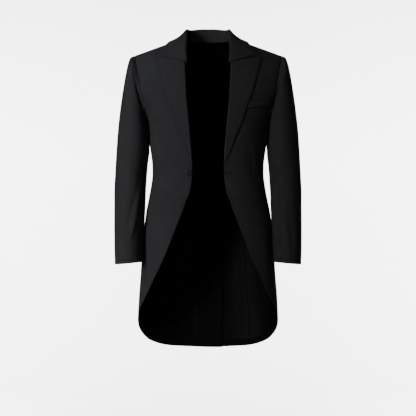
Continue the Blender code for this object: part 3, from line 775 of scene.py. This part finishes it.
def cloth(name, node, side, grid, normal, seams, thick=WALL, finish=WOOL, facing=None,
          lining_step=0.0, rests_on=(), held="draped"):
    """Closed shell of one cut piece from the grid of its outer face.

    seams has a value or a mask for the first row, the last row, the first column and the last
    column: 1 for a seam with dark painted shade in it, FINE for one with faint painted shade,
    PRESSED for one pressed flat, which hardly shows, and 0 for a free edge. facing is a mask of the
    inner face that is wool, a copy darkened with painted shade; the rest of it is lining, and
    without a mask all of it is wool.
    """
    rows, columns = grid.shape[:2]
    down = walked(grid, 0)
    across = walked(grid, 1)
    inward, along, free, sewn = border_ways(down, across, seams)
    from_round = 1 - np.clip(inward / EDGE_ROUND, 0, 1)
    sunk = EDGE_SINK * thick * (1 - np.sqrt(1 - from_round ** 2))
    outer = grid - normal * sunk[..., None]
    inner = grid - normal * (thick - sunk + lining_step)[..., None]
    points = np.concatenate([outer.reshape(-1, 3), inner.reshape(-1, 3)]) * MM
    faces = shell_faces(rows, columns)
    if side == "right":
        points = points * MIRROR
        faces = faces[:, ::-1]
    mesh = bpy.data.meshes.new(name)
    mesh.from_pydata(points.tolist(), [], faces.tolist())
    slots = np.zeros(len(faces), int)
    if facing is not None:
        cells = (rows - 1) * (columns - 1)
        slots[cells:2 * cells] = np.where(facing[:-1, :-1].reshape(-1), 2, 1)
    mesh.polygons.foreach_set("material_index", slots)
    mesh.polygons.foreach_set("use_smooth", np.ones(len(faces), bool))
    loops = np.zeros(len(mesh.loops), int)
    mesh.loops.foreach_get("vertex_index", loops)
    loops = loops % (rows * columns)
    maps = {"cloth": (across, down), "edge": (along, free), "seam": (sewn, free)}
    for uv_name, (first, second) in maps.items():
        layer = mesh.uv_layers.new(name=uv_name)
        pair = np.stack([first.reshape(-1)[loops], second.reshape(-1)[loops]], -1) * MM
        layer.data.foreach_set("uv", pair.reshape(-1))
    for material in (finish, LINING, FACING_PAINTED_SHADE):
        mesh.materials.append(material)
    mesh.update()
    piece = placed(name, mesh)
    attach(piece, "root")
    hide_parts(node)
    area = cell_area(grid) * MM * MM


def cell_area(grid):
    """Area of the grid's cells, each as two triangles."""
    first = grid[1:, :-1] - grid[:-1, :-1]
    second = grid[:-1, 1:] - grid[:-1, :-1]
    third = grid[1:, :-1] - grid[1:, 1:]
    fourth = grid[:-1, 1:] - grid[1:, 1:]
    return float((np.linalg.norm(np.cross(first, second), axis=-1)
                  + np.linalg.norm(np.cross(third, fourth), axis=-1)).sum() / 2)


def panel(name, node, side, angle, level, lift=0.0, **more):
    """A piece of the body from its grid of angles and levels."""
    grid = body(side, angle, level, lift)
    cloth(name, node, side, grid, body_normal(angle, level), **more)


def eased(way):
    """Share of the full step, from how far a point is past the facing or the hem."""
    return soft(np.clip(way / LINING_EASE, 0, 1))


def forepart_grid():
    """Angles and levels of a forepart, fine at its edges and beside the dart."""
    dart = DART_SHARE + np.array(DART_STEPS) / FOREPART_WIDTH
    across = edged(FOREPART_WIDTH, dart)
    upper = np.concatenate([RIDGE_TOP + np.array(EDGE_STEPS),
                            UNDERARM * np.sin(shares(92) * math.pi / 2)[2:]])
    rows = [np.full(len(across), one) for one in upper]
    for share in edged(UNDERARM_TO_WAIST)[1:]:
        inner = front_edge_angle(UNDERARM + share * UNDERARM_TO_FRONT_WAIST)
        outer = side_seam_angle(UNDERARM + share * UNDERARM_TO_WAIST)
        # The borders' angles and the row's levels hang on each other, so they close in together
        for _ in range(4):
            angle = inner + (outer - inner) * across
            row = UNDERARM + share * (waist_level(angle) - UNDERARM)
            inner = front_edge_angle(row[0])
            outer = side_seam_angle(row[-1])
        rows.append(row)
    level = np.array(rows)
    last = level[:, -1]
    inner = front_edge_angle(level[:, 0])
    outer = np.where(last < UNDERARM, armhole_angle(last), side_seam_angle(last))
    return inner[:, None] + (outer - inner)[:, None] * across[None], level, across


def fronts():
    angle, level, across = forepart_grid()
    apart = (across[None] - DART_SHARE) * FOREPART_WIDTH
    below_dart = np.clip((level - DART_TOP) / DART_EASE, 0, 1)
    dart = -DART_DEPTH * hump(apart, 0, DART_WIDTH) * below_dart
    for side in SIDES:
        grid = body(side, angle, level, dart)
        turned = walked(grid, 1) - FACING_WIDTH - FACING_SWAY * np.sin(level / FACING_WAVE)
        panel("Forepart_" + side, "front_" + side, side, angle, level, dart,
              seams=(1, FINE, 0, 1), facing=turned < 0, lining_step=-LINING_STEP * eased(turned),
              finish=WOOL_STITCHED, rests_on=["back_" + side, "side_body_" + side])


def patch(top, low, left, right, down, across):
    """Angles and levels inside four borders, each a function of a share along it."""
    upper = np.array([top(k) for k in across])[None]
    lower = np.array([low(k) for k in across])[None]
    first = np.array([left(k) for k in down])[:, None]
    last = np.array([right(k) for k in down])[:, None]
    u = across[None, :, None]
    v = down[:, None, None]
    corners = ((1 - u) * (1 - v) * upper[:, :1] + u * (1 - v) * upper[:, -1:]
               + (1 - u) * v * lower[:, :1] + u * v * lower[:, -1:])
    grid = (1 - v) * upper + v * lower + (1 - u) * first + u * last - corners
    return grid[..., 0], grid[..., 1]


def side_bodies():
    start_angle = float(side_seam_angle(UNDERARM))

    def top(share):
        level = UNDERARM - (UNDERARM - BACK_SEAM_TOP) * math.sin(share * math.pi / 2) ** 2
        return max(180 - float(armhole_angle(level)), start_angle), level

    def left(share):
        level = UNDERARM + share * (float(waist_level(90)) - UNDERARM)
        return float(side_seam_angle(level)), level

    def right(share):
        level = BACK_SEAM_TOP + share * (WAIST_CORNER - BACK_SEAM_TOP)
        return float(back_seam_angle(level)), level

    def low(share):
        angle = left(1)[0] + (right(1)[0] - left(1)[0]) * share
        return angle, float(waist_level(angle))

    angle, level = patch(top, low, left, right, edged(SIDE_BODY_LENGTH), edged(SIDE_BODY_WIDTH))
    for side in SIDES:
        panel("Side_body_" + side, "side_body_" + side, side, angle, level, seams=(1, FINE, 1, 1),
              facing=np.zeros(angle.shape, bool), rests_on=["back_" + side, "front_" + side])


def back_grid(last_angle):
    """Angles and levels of a back, from its outer border to its last angle at the centre."""
    across = edged(BACK_WIDTH)
    seam = np.concatenate([
        RIDGE_TOP + np.array(EDGE_STEPS),
        NAPE_LEVEL * np.sin(shares(24) * math.pi / 2)[2:],
        np.arange(NAPE_LEVEL, VENT_TOP + 16, CELL)[1:],
    ])
    neck = 180 - front_angle(np.interp(seam, column(NECK, 0), column(NECK, 1)), seam)
    outer = np.where(seam < BACK_SEAM_TOP, 180 - armhole_angle(seam), back_seam_angle(seam))
    inner = np.where(seam < NAPE_LEVEL, neck, last_angle)
    angle = outer[:, None] + (inner - outer)[:, None] * across[None]
    level = np.repeat(seam[:, None], len(across), axis=1)
    last = seam[-1]
    angles = list(angle)
    levels = list(level)
    for share in edged(BACK_SKIRT_LENGTH)[1:]:
        row = last + share * (hem_level(angles[-1]) - last)
        edge = back_seam_angle(row[0])
        angles.append(edge + (last_angle - edge) * across)
        levels.append(last + share * (hem_level(angles[-1]) - last))
    return np.array(angles), np.array(levels)


def backs():
    for side in SIDES:
        right = side == "right"
        angle, level = back_grid(180.0 - UNDERLAP_ROOT * right)
        lift = np.zeros_like(angle)
        if right:
            angle, level, lift = add_underlap(angle, level)
        to_hem = hem_level(np.clip(angle, 0, 180)) - level
        to_vent = np.where(level > VENT_TOP, np.abs(180 - angle) * VENT_DEGREE, FAR)
        turned = np.minimum(to_hem, to_vent)
        facing = (turned < HEM_TURN) | (angle > UNDERLAP_START)
        step = LINING_STEP * eased(turned - HEM_TURN) * (angle < 180)
        centre_seam = level[:, -1] < VENT_TOP
        panel("Back_" + side, "back_" + side, side, angle, level, lift,
              seams=(1, 0, 1, centre_seam), facing=facing, lining_step=-step,
              rests_on=["front_" + side, "collar"])


def add_underlap(angle, level):
    """The right back's grid with the strip that lies under the left one at the vent."""
    edge_level = level[:, -1]
    sunk = np.clip((edge_level - (VENT_TOP - VENT_EASE)) / VENT_EASE, 0, 1)
    opened = np.clip((edge_level - VENT_TOP) / VENT_OPENING, 0, 1)
    near = soft(np.clip(1 - np.abs(180 - angle) / CENTRE_CALM, 0, 1))
    lift = -VENT_STEP * sunk[:, None] * near ** 0.5
    extra_angle = []
    for share in shares(12)[1:]:
        past = np.degrees(VENT_UNDERLAP * share / ring("half", edge_level)) * opened
        extra_angle.append(angle[:, -1] + past + UNDERLAP_ROOT * share)
    more = len(extra_angle)
    angle = np.concatenate([angle, np.array(extra_angle).T], axis=1)
    lift = np.concatenate([lift, np.repeat((-VENT_STEP * sunk)[:, None], more, axis=1)], axis=1)
    level = np.concatenate([level, np.repeat(edge_level[:, None], more, axis=1)], axis=1)
    return angle, level, lift


def skirts():
    seam_end = float(back_seam_angle(WAIST_CORNER))
    angles = np.linspace(HEM[0][0], SKIRT_CORNER, 400)
    edge_levels = hem_level(angles)

    def top(share):
        angle = HEM[0][0] + (seam_end - HEM[0][0]) * share
        return angle, float(waist_level(angle))

    def left(share):
        start = top(0)[1]
        level = start + share * (float(hem_level(SKIRT_CORNER)) - start)
        return float(np.interp(level, edge_levels, angles)), level

    def right(share):
        start = top(1)[1]
        level = start + share * (float(hem_level(back_seam_angle(TAIL_LEVEL))) - start)
        return float(back_seam_angle(level)), level

    def low(share):
        angle = SKIRT_CORNER + (right(1)[0] - SKIRT_CORNER) * share
        return angle, float(hem_level(angle))

    angle, level = patch(top, low, left, right, edged(SKIRT_LENGTH), edged(SKIRT_WIDTH))
    for side in SIDES:
        grid = body(side, angle, level)
        from_front = walked(grid, 1)
        from_hem = walked(grid, 0)
        from_hem = from_hem[-1:] - from_hem
        turned = np.minimum(from_front - SKIRT_FACING, from_hem - HEM_TURN)
        panel("Skirt_" + side, "skirt_" + side, side, angle, level, seams=(FINE, 0, 0, 1),
              facing=turned < 0, lining_step=-LINING_STEP * eased(turned), finish=WOOL_STITCHED,
              rests_on=["front_" + side, "side_body_" + side])


def armhole_loop(turns):
    """Points around the armhole, turn 0 being the top and 90 the front."""
    levels = np.linspace(0, UNDERARM, 721)
    angles = armhole_angle(levels)
    front = bare_body(angles, levels)
    rear = bare_body(180 - angles, levels)
    middle = (front[0, 2] + front[-1, 2]) / 2
    half = (front[0, 2] - front[-1, 2]) / 2
    loop = []
    for turn in turns:
        height = middle + half * math.cos(math.radians(turn))
        path = front if math.sin(math.radians(turn)) >= 0 else rear
        loop.append([np.interp(-height, -path[:, 2], path[:, k]) for k in range(3)])
    return np.array(loop)


def bare_sleeve(turns, places):
    """Smooth form of the sleeve: place 0 is the armhole, and each whole place is a ring."""
    turn = np.radians(turns)
    rings = [armhole_loop(turns)]
    for outer_x, outer_z, inner_x, inner_z, front, back in SLEEVE:
        centre = np.array([(outer_x + inner_x) / 2, (front + back) / 2, (outer_z + inner_z) / 2])
        reach = np.array([(outer_x - inner_x) / 2, 0, (outer_z - inner_z) / 2])
        depth = np.array([0, (front - back) / 2, 0])
        rings.append(centre + np.cos(turn)[:, None] * reach + np.sin(turn)[:, None] * depth)
    rings = np.array(rings)
    known = np.arange(len(rings), dtype=float)
    grid = np.zeros((len(places), len(turns), 3))
    for j in range(len(turns)):
        for k in range(3):
            grid[:, j, k] = smooth(known, rings[:, j, k], places)
    return grid


def sleeve_faces(side, turns, places):
    """Outer face of the sleeve, with its creases, and the directions off it."""
    bare = bare_sleeve(turns, places)
    across = bare_sleeve(turns + NEAR_TURN, places) - bare_sleeve(turns - NEAR_TURN, places)
    below = np.minimum(places + NEAR_RING, len(SLEEVE))
    above = np.maximum(places - NEAR_RING, 0)
    down = bare_sleeve(turns, below) - bare_sleeve(turns, above)
    normal = unit(np.cross(across, down))
    turn = np.broadcast_to(turns[None], bare.shape[:2])
    place = np.broadcast_to(places[:, None], bare.shape[:2])
    lift = creases(ARM_CREASES[side], turn, place, True)
    round_turn = np.degrees(np.sin(np.radians(turn))) * 0.9
    uneven = ripple(round_turn, place * RING_SPACING, SLEEVE_SEEDS[side])
    lift = lift + SLEEVE_RIPPLE * uneven * np.clip(place / 2, 0, 1)
    lift = lift * (1 - swells(SLEEVE_CALM, turn, place)) + swells(SLEEVE_SWELLS, turn, place)
    ridge, reach, height = ROPING
    lift = lift + height * hump(place, ridge, reach) * np.clip(np.cos(np.radians(turn)), 0, 1)
    for middle, width, ring_place, reach, depth in CAP_HOLLOWS:
        lift = lift - depth * hump(turn, middle, width) * hump(place, ring_place, reach)
    return bare + normal * lift[..., None], normal


def sleeves():
    way = np.array(SLEEVE_WAY, float)
    places = np.interp(edged(way[-1]) * way[-1], way, np.arange(len(way)))
    # The sleeve head bends most, so it has more rows
    head = np.linspace(0, 1.2, 14)
    places = np.unique(np.round(np.concatenate([places, head]), 4))
    spans = (
        ("Top_sleeve_", "top_sleeve_", BACK_ARM_SEAM - 360, FRONT_ARM_SEAM, TOP_SLEEVE_WIDTH),
        ("Under_sleeve_", "under_sleeve_", FRONT_ARM_SEAM, BACK_ARM_SEAM, UNDER_SLEEVE_WIDTH),
    )
    for name, node, start, end, width in spans:
        turns = start + (end - start) * edged(width)
        for side in SIDES:
            grid, normal = sleeve_faces(side, turns, places)
            from_cuff = walked(grid, 0)
            from_cuff = from_cuff[-1:] - from_cuff
            facing = from_cuff < CUFF_FACING
            step = LINING_STEP * eased(from_cuff - CUFF_FACING)
            cloth(name + side, node + side, side, grid[:, ::-1], normal[:, ::-1],
                  (1, 0, PRESSED, PRESSED), finish=WOOL_CUFF, facing=facing[:, ::-1],
                  lining_step=-step[:, ::-1], rests_on=["front_" + side, "back_" + side])


def grid_normal(grid):
    """Directions off a grid, from the points beside each one."""
    return unit(np.cross(np.gradient(grid, axis=0), np.gradient(grid, axis=1)))


def lapel_form():
    """Places and lifts of a lapel: its turn at the roll line, then its flat out to the edge."""
    down = edged(LAPEL_LENGTH)
    roll_x = column(ROLL, 0)
    roll_z = column(ROLL, 1)
    edge_x = column(LAPEL_EDGE, 0)
    edge_z = column(LAPEL_EDGE, 1)
    gorge_x = column(GORGE, 0)
    gorge_z = column(GORGE, 1)
    in_z = roll_z[0] + (roll_z[-1] - roll_z[0]) * down
    in_x = smooth(-roll_z, roll_x, -in_z)
    out_z = edge_z[0] + (edge_z[-1] - edge_z[0]) * down
    out_x = smooth(-edge_z, edge_x, -out_z)
    taper = np.clip((in_z - BREAK_HEIGHT) / BREAK_EASE, 0, 1)[:, None]
    knots = np.arange(len(TURN_ROUND), dtype=float)
    bend = np.concatenate([np.array(EDGE_STEPS) / 2.2, np.linspace(0.8, 3.8, 11)])
    round_x, round_lift = [smooth(knots, column(TURN_ROUND, k), bend)[None] for k in (0, 1)]
    flat_x, flat_lift = [smooth(knots, column(TURN_FLAT, k), bend)[None] for k in (0, 1)]
    wrap_x = in_x[:, None] + flat_x + (round_x - flat_x) * taper
    wrap_lift = flat_lift + (round_lift - flat_lift) * taper
    wrap_z = np.repeat(in_z[:, None], len(bend), axis=1)
    start_x = in_x[:, None] + TURN_ROUND[-1][0]
    share = edged(LAPEL_WIDTH)[len(EDGE_STEPS):][None]
    share = np.concatenate([np.array([[0.0, 0.014, 0.028]]), share], axis=1)
    x = start_x + (out_x[:, None] - start_x) * share
    z = in_z[:, None] + (out_z - in_z)[:, None] * share
    chord = gorge_z[0] + (gorge_z[-1] - gorge_z[0]) * (x - gorge_x[0]) / (gorge_x[-1] - gorge_x[0])
    z = z + (np.interp(x, gorge_x, gorge_z) - chord) * np.clip(1 - down * 4.5, 0, 1)[:, None]
    lift = LAPEL_LIFT + (LAPEL_ROLL - LAPEL_LIFT) * (1 - share) ** 3
    lift = np.broadcast_to(lift, x.shape)
    x = np.concatenate([wrap_x, x], axis=1)
    z = np.concatenate([wrap_z, z], axis=1)
    return x, z, np.concatenate([wrap_lift, lift], axis=1)


def lapels():
    x, z, lift = lapel_form()
    gorge_seam = np.where(x[0] < GORGE_END, PRESSED, 0)
    for side in SIDES:
        grid = on_front(side, x, z, lift)
        cloth("Lapel_" + side, "lapel_" + side, side, grid, grid_normal(grid),
              (gorge_seam, 0, PRESSED, 0), finish=WOOL_STITCHED, rests_on=["front_" + side],
              held="folded")


def collar_grid():
    """Stand, fold and fall of the collar, from its left end round the nape to its right end."""
    places = np.arange(len(COLLAR), dtype=float)
    fine = np.linspace(0, len(COLLAR) - 1, 90)
    fine = np.unique(np.concatenate([fine, np.array(EDGE_STEPS) / 42]))
    at = {name: smooth(places, column(COLLAR, k), fine) for k, name in enumerate(COLLAR_COLUMNS)}
    stand = on_shoulder(at["stand_x"], at["stand_over"], 0.0)
    base = on_shoulder(at["fold_x"], at["fold_over"], 0.0)
    fold = on_shoulder(at["fold_x"], at["fold_over"], at["fold_lift"])
    edge = on_shoulder(at["edge_x"], at["edge_over"], at["edge_lift"])
    path = np.concatenate([fold, fold[:-1][::-1] * MIRROR])
    along = unit(np.gradient(path, axis=0)[:len(fold)])
    away = fold - (stand + edge) / 2
    away = unit(away - along * (away * along).sum(-1, keepdims=True))
    spread = np.cross(along, away)
    spread = spread * np.sign((spread * (fold - base)).sum(-1, keepdims=True))
    inward = fold - spread * FOLD_WIDTH
    middle = (inward + fold) / 2
    section = [stand + (inward - stand) * k for k in edged(COLLAR_STAND)[:-4]]
    for turn in np.radians(np.linspace(0, FOLD_TURN, 12)):
        section.append(middle + (away * math.sin(turn) - spread * math.cos(turn)) * FOLD_WIDTH / 2)
    for share in edged(COLLAR_FALL)[2:]:
        x = at["fold_x"] + (at["edge_x"] - at["fold_x"]) * share
        over = at["fold_over"] + (at["edge_over"] - at["fold_over"]) * share
        lift = at["edge_lift"] + (at["fold_lift"] - at["edge_lift"]) * (1 - share) ** at["curl"]
        section.append(on_shoulder(x, over, lift))
    half = np.stack(section, axis=1)
    return np.concatenate([half, half[:-1][::-1] * MIRROR])


def collar():
    grid = collar_grid()
    end = np.where(np.abs(grid[0, :, 0]) < GORGE_END, PRESSED, 0)
    cloth("Collar", "collar", "left", grid, grid_normal(grid), (end, end, 1, 0),
          finish=WOOL_STITCHED, rests_on=["back_left", "back_right", "front_left", "front_right"],
          held="folded")


def welt_top(share):
    """Height of the welt's upper edge at a share of its length."""
    return WELT["top_inner"] + (WELT["top_outer"] - WELT["top_inner"]) * share


def breast_welt():
    across = edged(WELT["length"])
    down = edged(WELT["depth"])
    x = WELT["x_inner"] + (WELT["x_outer"] - WELT["x_inner"]) * across
    x = np.repeat(x[None], len(down), axis=0)
    height = welt_top(across)[None] - WELT["depth"] * down[:, None]
    level = front_level(x, height)
    panel("Breast_welt", "breast_welt", "left", front_angle(x, level), level, WELT["lift"],
          seams=(0, 1, 1, 1), thick=WELT["thick"], finish=WOOL_STITCHED, rests_on=["front_left"],
          held="folded")


def deselect():
    if bpy.context.object and bpy.context.object.mode != "OBJECT":
        bpy.ops.object.mode_set(mode="OBJECT")
    bpy.ops.object.select_all(action="DESELECT")


def settle(piece, origin, side, up, out):
    """Turn a piece modelled about the origin, facing +Z, onto the cloth, its place in its mesh."""
    turn = Matrix((side, up, out)).transposed().to_4x4()
    piece.data.transform(Matrix.Translation(origin) @ turn)
    piece.matrix_world = Matrix.Identity(4)
    piece.data.update()


def cloth_place(side, x, height, lift):
    """A place on the front for settle: the point, and the directions across, up and out."""
    mirror = np.ones(3) if side == "left" else MIRROR
    level = front_level(np.array([abs(x)]), np.array([height]))
    angle = front_angle(np.array([abs(x)]), level)
    out = Vector((body_normal(angle, level)[0] * mirror).tolist())
    origin = Vector((body(side, angle, level, np.array([lift]))[0] * mirror * MM).tolist())
    across = Vector((0, 0, 1)).cross(out).normalized()
    return origin, across, out.cross(across), out


def turned_button(name, radius):
    """Four-hole button: a disc with a rolled rim and a dished middle."""
    deselect()
    bpy.ops.mesh.primitive_cylinder_add(vertices=96, radius=radius, depth=BUTTON_THICKNESS,
                                        location=(0, 0, BUTTON_THICKNESS / 2))
    piece = bpy.context.object
    piece.name = name
    bpy.ops.object.mode_set(mode="EDIT")
    bpy.ops.mesh.select_all(action="DESELECT")
    bpy.ops.object.mode_set(mode="OBJECT")
    for face in piece.data.polygons:
        face.select = face.normal.z > 0.9
    bpy.ops.object.mode_set(mode="EDIT")
    for share, rise in BUTTON_INSETS:
        bpy.ops.mesh.inset(thickness=radius * share, depth=rise)
    bpy.ops.object.mode_set(mode="OBJECT")
    for k in range(4):
        turn = math.pi / 4 + k * math.pi / 2
        deselect()
        hole = (HOLE_REACH * math.cos(turn), HOLE_REACH * math.sin(turn), 0.002)
        bpy.ops.mesh.primitive_cylinder_add(vertices=24, radius=HOLE_RADIUS, depth=0.01,
                                            location=hole)
        drill = bpy.context.object
        cut = piece.modifiers.new("hole", "BOOLEAN")
        cut.operation = "DIFFERENCE"
        cut.object = drill
        deselect()
        piece.select_set(True)
        bpy.context.view_layer.objects.active = piece
        bpy.ops.object.modifier_apply(modifier=cut.name)
        bpy.data.objects.remove(drill, do_unlink=True)
    bevel = piece.modifiers.new("edges", "BEVEL")
    bevel.width = 0.00035
    bevel.segments = 3
    bevel.angle_limit = math.radians(28)
    bpy.ops.object.modifier_apply(modifier=bevel.name)
    bpy.ops.object.shade_smooth_by_angle(angle=math.radians(40))
    piece.data.materials.append(HORN)
    return piece


def tube(name, lines, radius):
    """Silk threads along lists of points, made one mesh."""
    curve = bpy.data.curves.new(name, "CURVE")
    curve.dimensions = "3D"
    curve.bevel_depth = radius
    curve.bevel_resolution = 2
    curve.use_fill_caps = True
    for line in lines:
        spline = curve.splines.new("POLY")
        spline.points.add(len(line) - 1)
        for point, place in zip(spline.points, line):
            point.co = (*place, 1)
    piece = placed(name, curve)
    deselect()
    piece.select_set(True)
    bpy.context.view_layer.objects.active = piece
    bpy.ops.object.convert(target="MESH")
    piece = bpy.context.object
    piece.data.materials.append(THREAD)
    bpy.ops.object.shade_smooth()
    return piece


def crossed_threads():
    """Lines of two bundles of thread that cross over the button's holes."""
    lines = []
    for sign in (-1, 1):
        for offset in (-0.00035, 0.0, 0.00035):
            line = []
            for k in np.linspace(-1, 1, 11):
                along = CROSS_REACH * k
                rise = 0.0031 + 0.0006 * (1 - k * k) - 0.0026 * max(abs(k) - 0.85, 0) / 0.15
                line.append((along - sign * offset * 0.7, sign * along + offset * 0.7, rise))
            lines.append(line)
    return lines


def shank_threads():
    """Lines of the threads between cloth and button, drawn in at their waist."""
    lines = []
    for turn in np.linspace(0, 2 * math.pi, 9)[:-1]:
        line = []
        for height in np.linspace(-0.5, 0.9, 6):
            waist = 1 - 0.2 * math.sin(height * 9)
            line.append((SHANK_RADIUS * math.cos(turn) * waist, SHANK_RADIUS * math.sin(turn),
                         height * MM))
        lines.append(line)
    return lines


def front_button():
    place = cloth_place("right", BUTTON_PLACE[0], BUTTON_PLACE[1], BUTTON_SHANK)
    button = turned_button("Front_button", BUTTON_RADIUS)
    settle(button, *place)
    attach(button, "root")
    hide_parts("front_button")
    stitches = tube("Button_thread", crossed_threads(), 0.00024)
    settle(stitches, *place)
    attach(stitches, "root")
    shank = tube("Button_shank", shank_threads(), 0.00045)
    settle(shank, *cloth_place("right", BUTTON_PLACE[0], BUTTON_PLACE[1], 0.0))
    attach(shank, "root")


def keyhole():
    """Outline of the buttonhole: round its eye, out along one side and back along the other."""
    outline = []
    for turn in np.linspace(EYE_OPENING, 2 * math.pi - EYE_OPENING, 30):
        outline.append((EYE_PLACE + EYE_RADIUS * math.cos(turn), EYE_RADIUS * math.sin(turn)))
    for x in np.linspace(SLIT_START, SLIT_END, 40):
        outline.append((x, -SLIT_HALF))
    for turn in np.linspace(-math.pi / 2, math.pi / 2, 8):
        outline.append((SLIT_END + 0.0008 * math.cos(turn), SLIT_HALF * math.sin(turn)))
    for x in np.linspace(SLIT_END, SLIT_START, 40):
        outline.append((x, SLIT_HALF))
    return np.array(outline)


def buttonhole():
    """Keyhole worked in close silk stitches, with a bar at its closed end."""
    place = cloth_place("left", BUTTONHOLE_PLACE[0], BUTTONHOLE_PLACE[1], 0.05)
    outline = keyhole()
    ahead = unit(np.roll(outline, -1, axis=0) - np.roll(outline, 1, axis=0))
    aside = np.stack([ahead[:, 1], -ahead[:, 0]], -1)
    lines = []
    for point, out in zip(outline, aside):
        inner = point - out * 0.00015
        outer = point + out * 0.00135
        middle = (inner + outer) / 2
        lines.append([(*inner, 0.0), (*(inner * 0.8 + middle * 0.2), 0.00038),
                      (*middle, 0.00055), (*(outer * 0.8 + middle * 0.2), 0.00036),
                      (*outer, -0.0001)])
    for x in np.linspace(0.0136, 0.0152, 5):
        lines.append([(x, -0.0021, 0.0), (x, -0.001, 0.0006), (x, 0.001, 0.0006), (x, 0.0021, 0.0)])
    stitches = tube("Buttonhole", lines, 0.00021)
    settle(stitches, *place)
    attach(stitches, "root")


def welt_tacks():
    """Close stitches that hold the welt's two ends down."""
    lines = []
    for name, share, inset in (("x_inner", 0.0, 1.6), ("x_outer", 1.0, -1.6)):
        for down in np.linspace(1.5, WELT["depth"] - 1.5, 16):
            x = WELT[name] + inset + np.array([-0.8, 0.0, 0.8])
            z = welt_top(share) - down + np.array([0.25, 0.0, -0.25])
            points = on_front("left", x, z, np.array([1.9, 2.12, 1.9]))
            lines.append([tuple(p * MM) for p in points])
    tacks = tube("Welt_tacks", lines, 0.00017)
    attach(tacks, "root")


def room():
    """Pale floor that turns up into a wall, with the lamps.

    A tall narrow key lamp stands on the left, weak wide ones in front and above, and two strong
    ones light the wall only.
    """
    deselect()
    turn_start = WALL_PLACE - FLOOR_TURN
    profile = [(FLOOR_START, 0.0), (turn_start, 0.0)]
    for t in np.linspace(0, math.pi / 2, 14)[1:]:
        profile.append((turn_start + FLOOR_TURN * math.sin(t), FLOOR_TURN * (1 - math.cos(t))))
    profile.append((WALL_PLACE, WALL_TOP))
    points = [(x, y, FLOOR + z) for y, z in profile for x in (-FLOOR_HALF, FLOOR_HALF)]
    faces = [(2 * k, 2 * k + 1, 2 * k + 3, 2 * k + 2) for k in range(len(profile) - 1)]
    mesh = bpy.data.meshes.new("Floor")
    mesh.from_pydata(points, [], faces)
    mesh.polygons.foreach_set("use_smooth", np.ones(len(faces), bool))
    floor = placed("Floor", mesh)
    paper = Finish("pale_paper", metallic=0.0, roughness=0.9)
    grain = paper.noise(paper.object_place(), 3.0)
    paper.feed("Base Color", paper.mix(grain, (0.90, 0.90, 0.89, 1), (0.92, 0.92, 0.91, 1)))
    mesh.materials.append(paper.material)

    world = bpy.data.worlds.new("Studio")
    world.use_nodes = True
    world.node_tree.nodes["Background"].inputs[0].default_value = (0.95, 0.97, 1.0, 1)
    world.node_tree.nodes["Background"].inputs[1].default_value = 0.1
    bpy.context.scene.world = world
    key = add_lamp("Key", (-2.4, -2.7, 0.3), 0.7, 10.6, (-0.34, 0, -0.4))
    key.shape = "RECTANGLE"
    key.size_y = 2.6
    key.spread = math.radians(24)
    add_lamp("Fill", (1.2, -3.3, -0.2), 2.2, 9.8)
    add_lamp("Top", (-0.4, -0.6, 1.9), 1.6, 4)
    add_lamp("Wall_left", (-2.3, WALL_PLACE - 2.6, 0.0), 1.8, 465, (-0.6, WALL_PLACE, -0.5))
    add_lamp("Wall_right", (2.3, WALL_PLACE - 2.6, 0.0), 1.8, 465, (0.6, WALL_PLACE, -0.5))


def add_lamp(name, place, size, power, aim=(0, 0, -0.5)):
    data = bpy.data.lights.new(name, "AREA")
    data.shape = "SQUARE"
    data.size = size
    data.energy = power
    lamp = placed(name, data)
    lamp.location = place
    lamp.rotation_euler = (Vector(aim) - Vector(place)).to_track_quat("-Z", "Y").to_euler()
    return data


def camera():
    data = bpy.data.cameras.new("Camera")
    data.sensor_width = SENSOR
    data.lens = SENSOR * CAMERA_DISTANCE / PICTURE_WIDTH
    made = placed("Camera", data)
    made.location = (0, -CAMERA_DISTANCE, CAMERA_HEIGHT)
    made.rotation_euler = (math.pi / 2, 0, 0)
    bpy.context.scene.camera = made


camera()
fronts()
side_bodies()
backs()
skirts()
sleeves()
lapels()
collar()
breast_welt()
front_button()
buttonhole()
welt_tacks()
room()
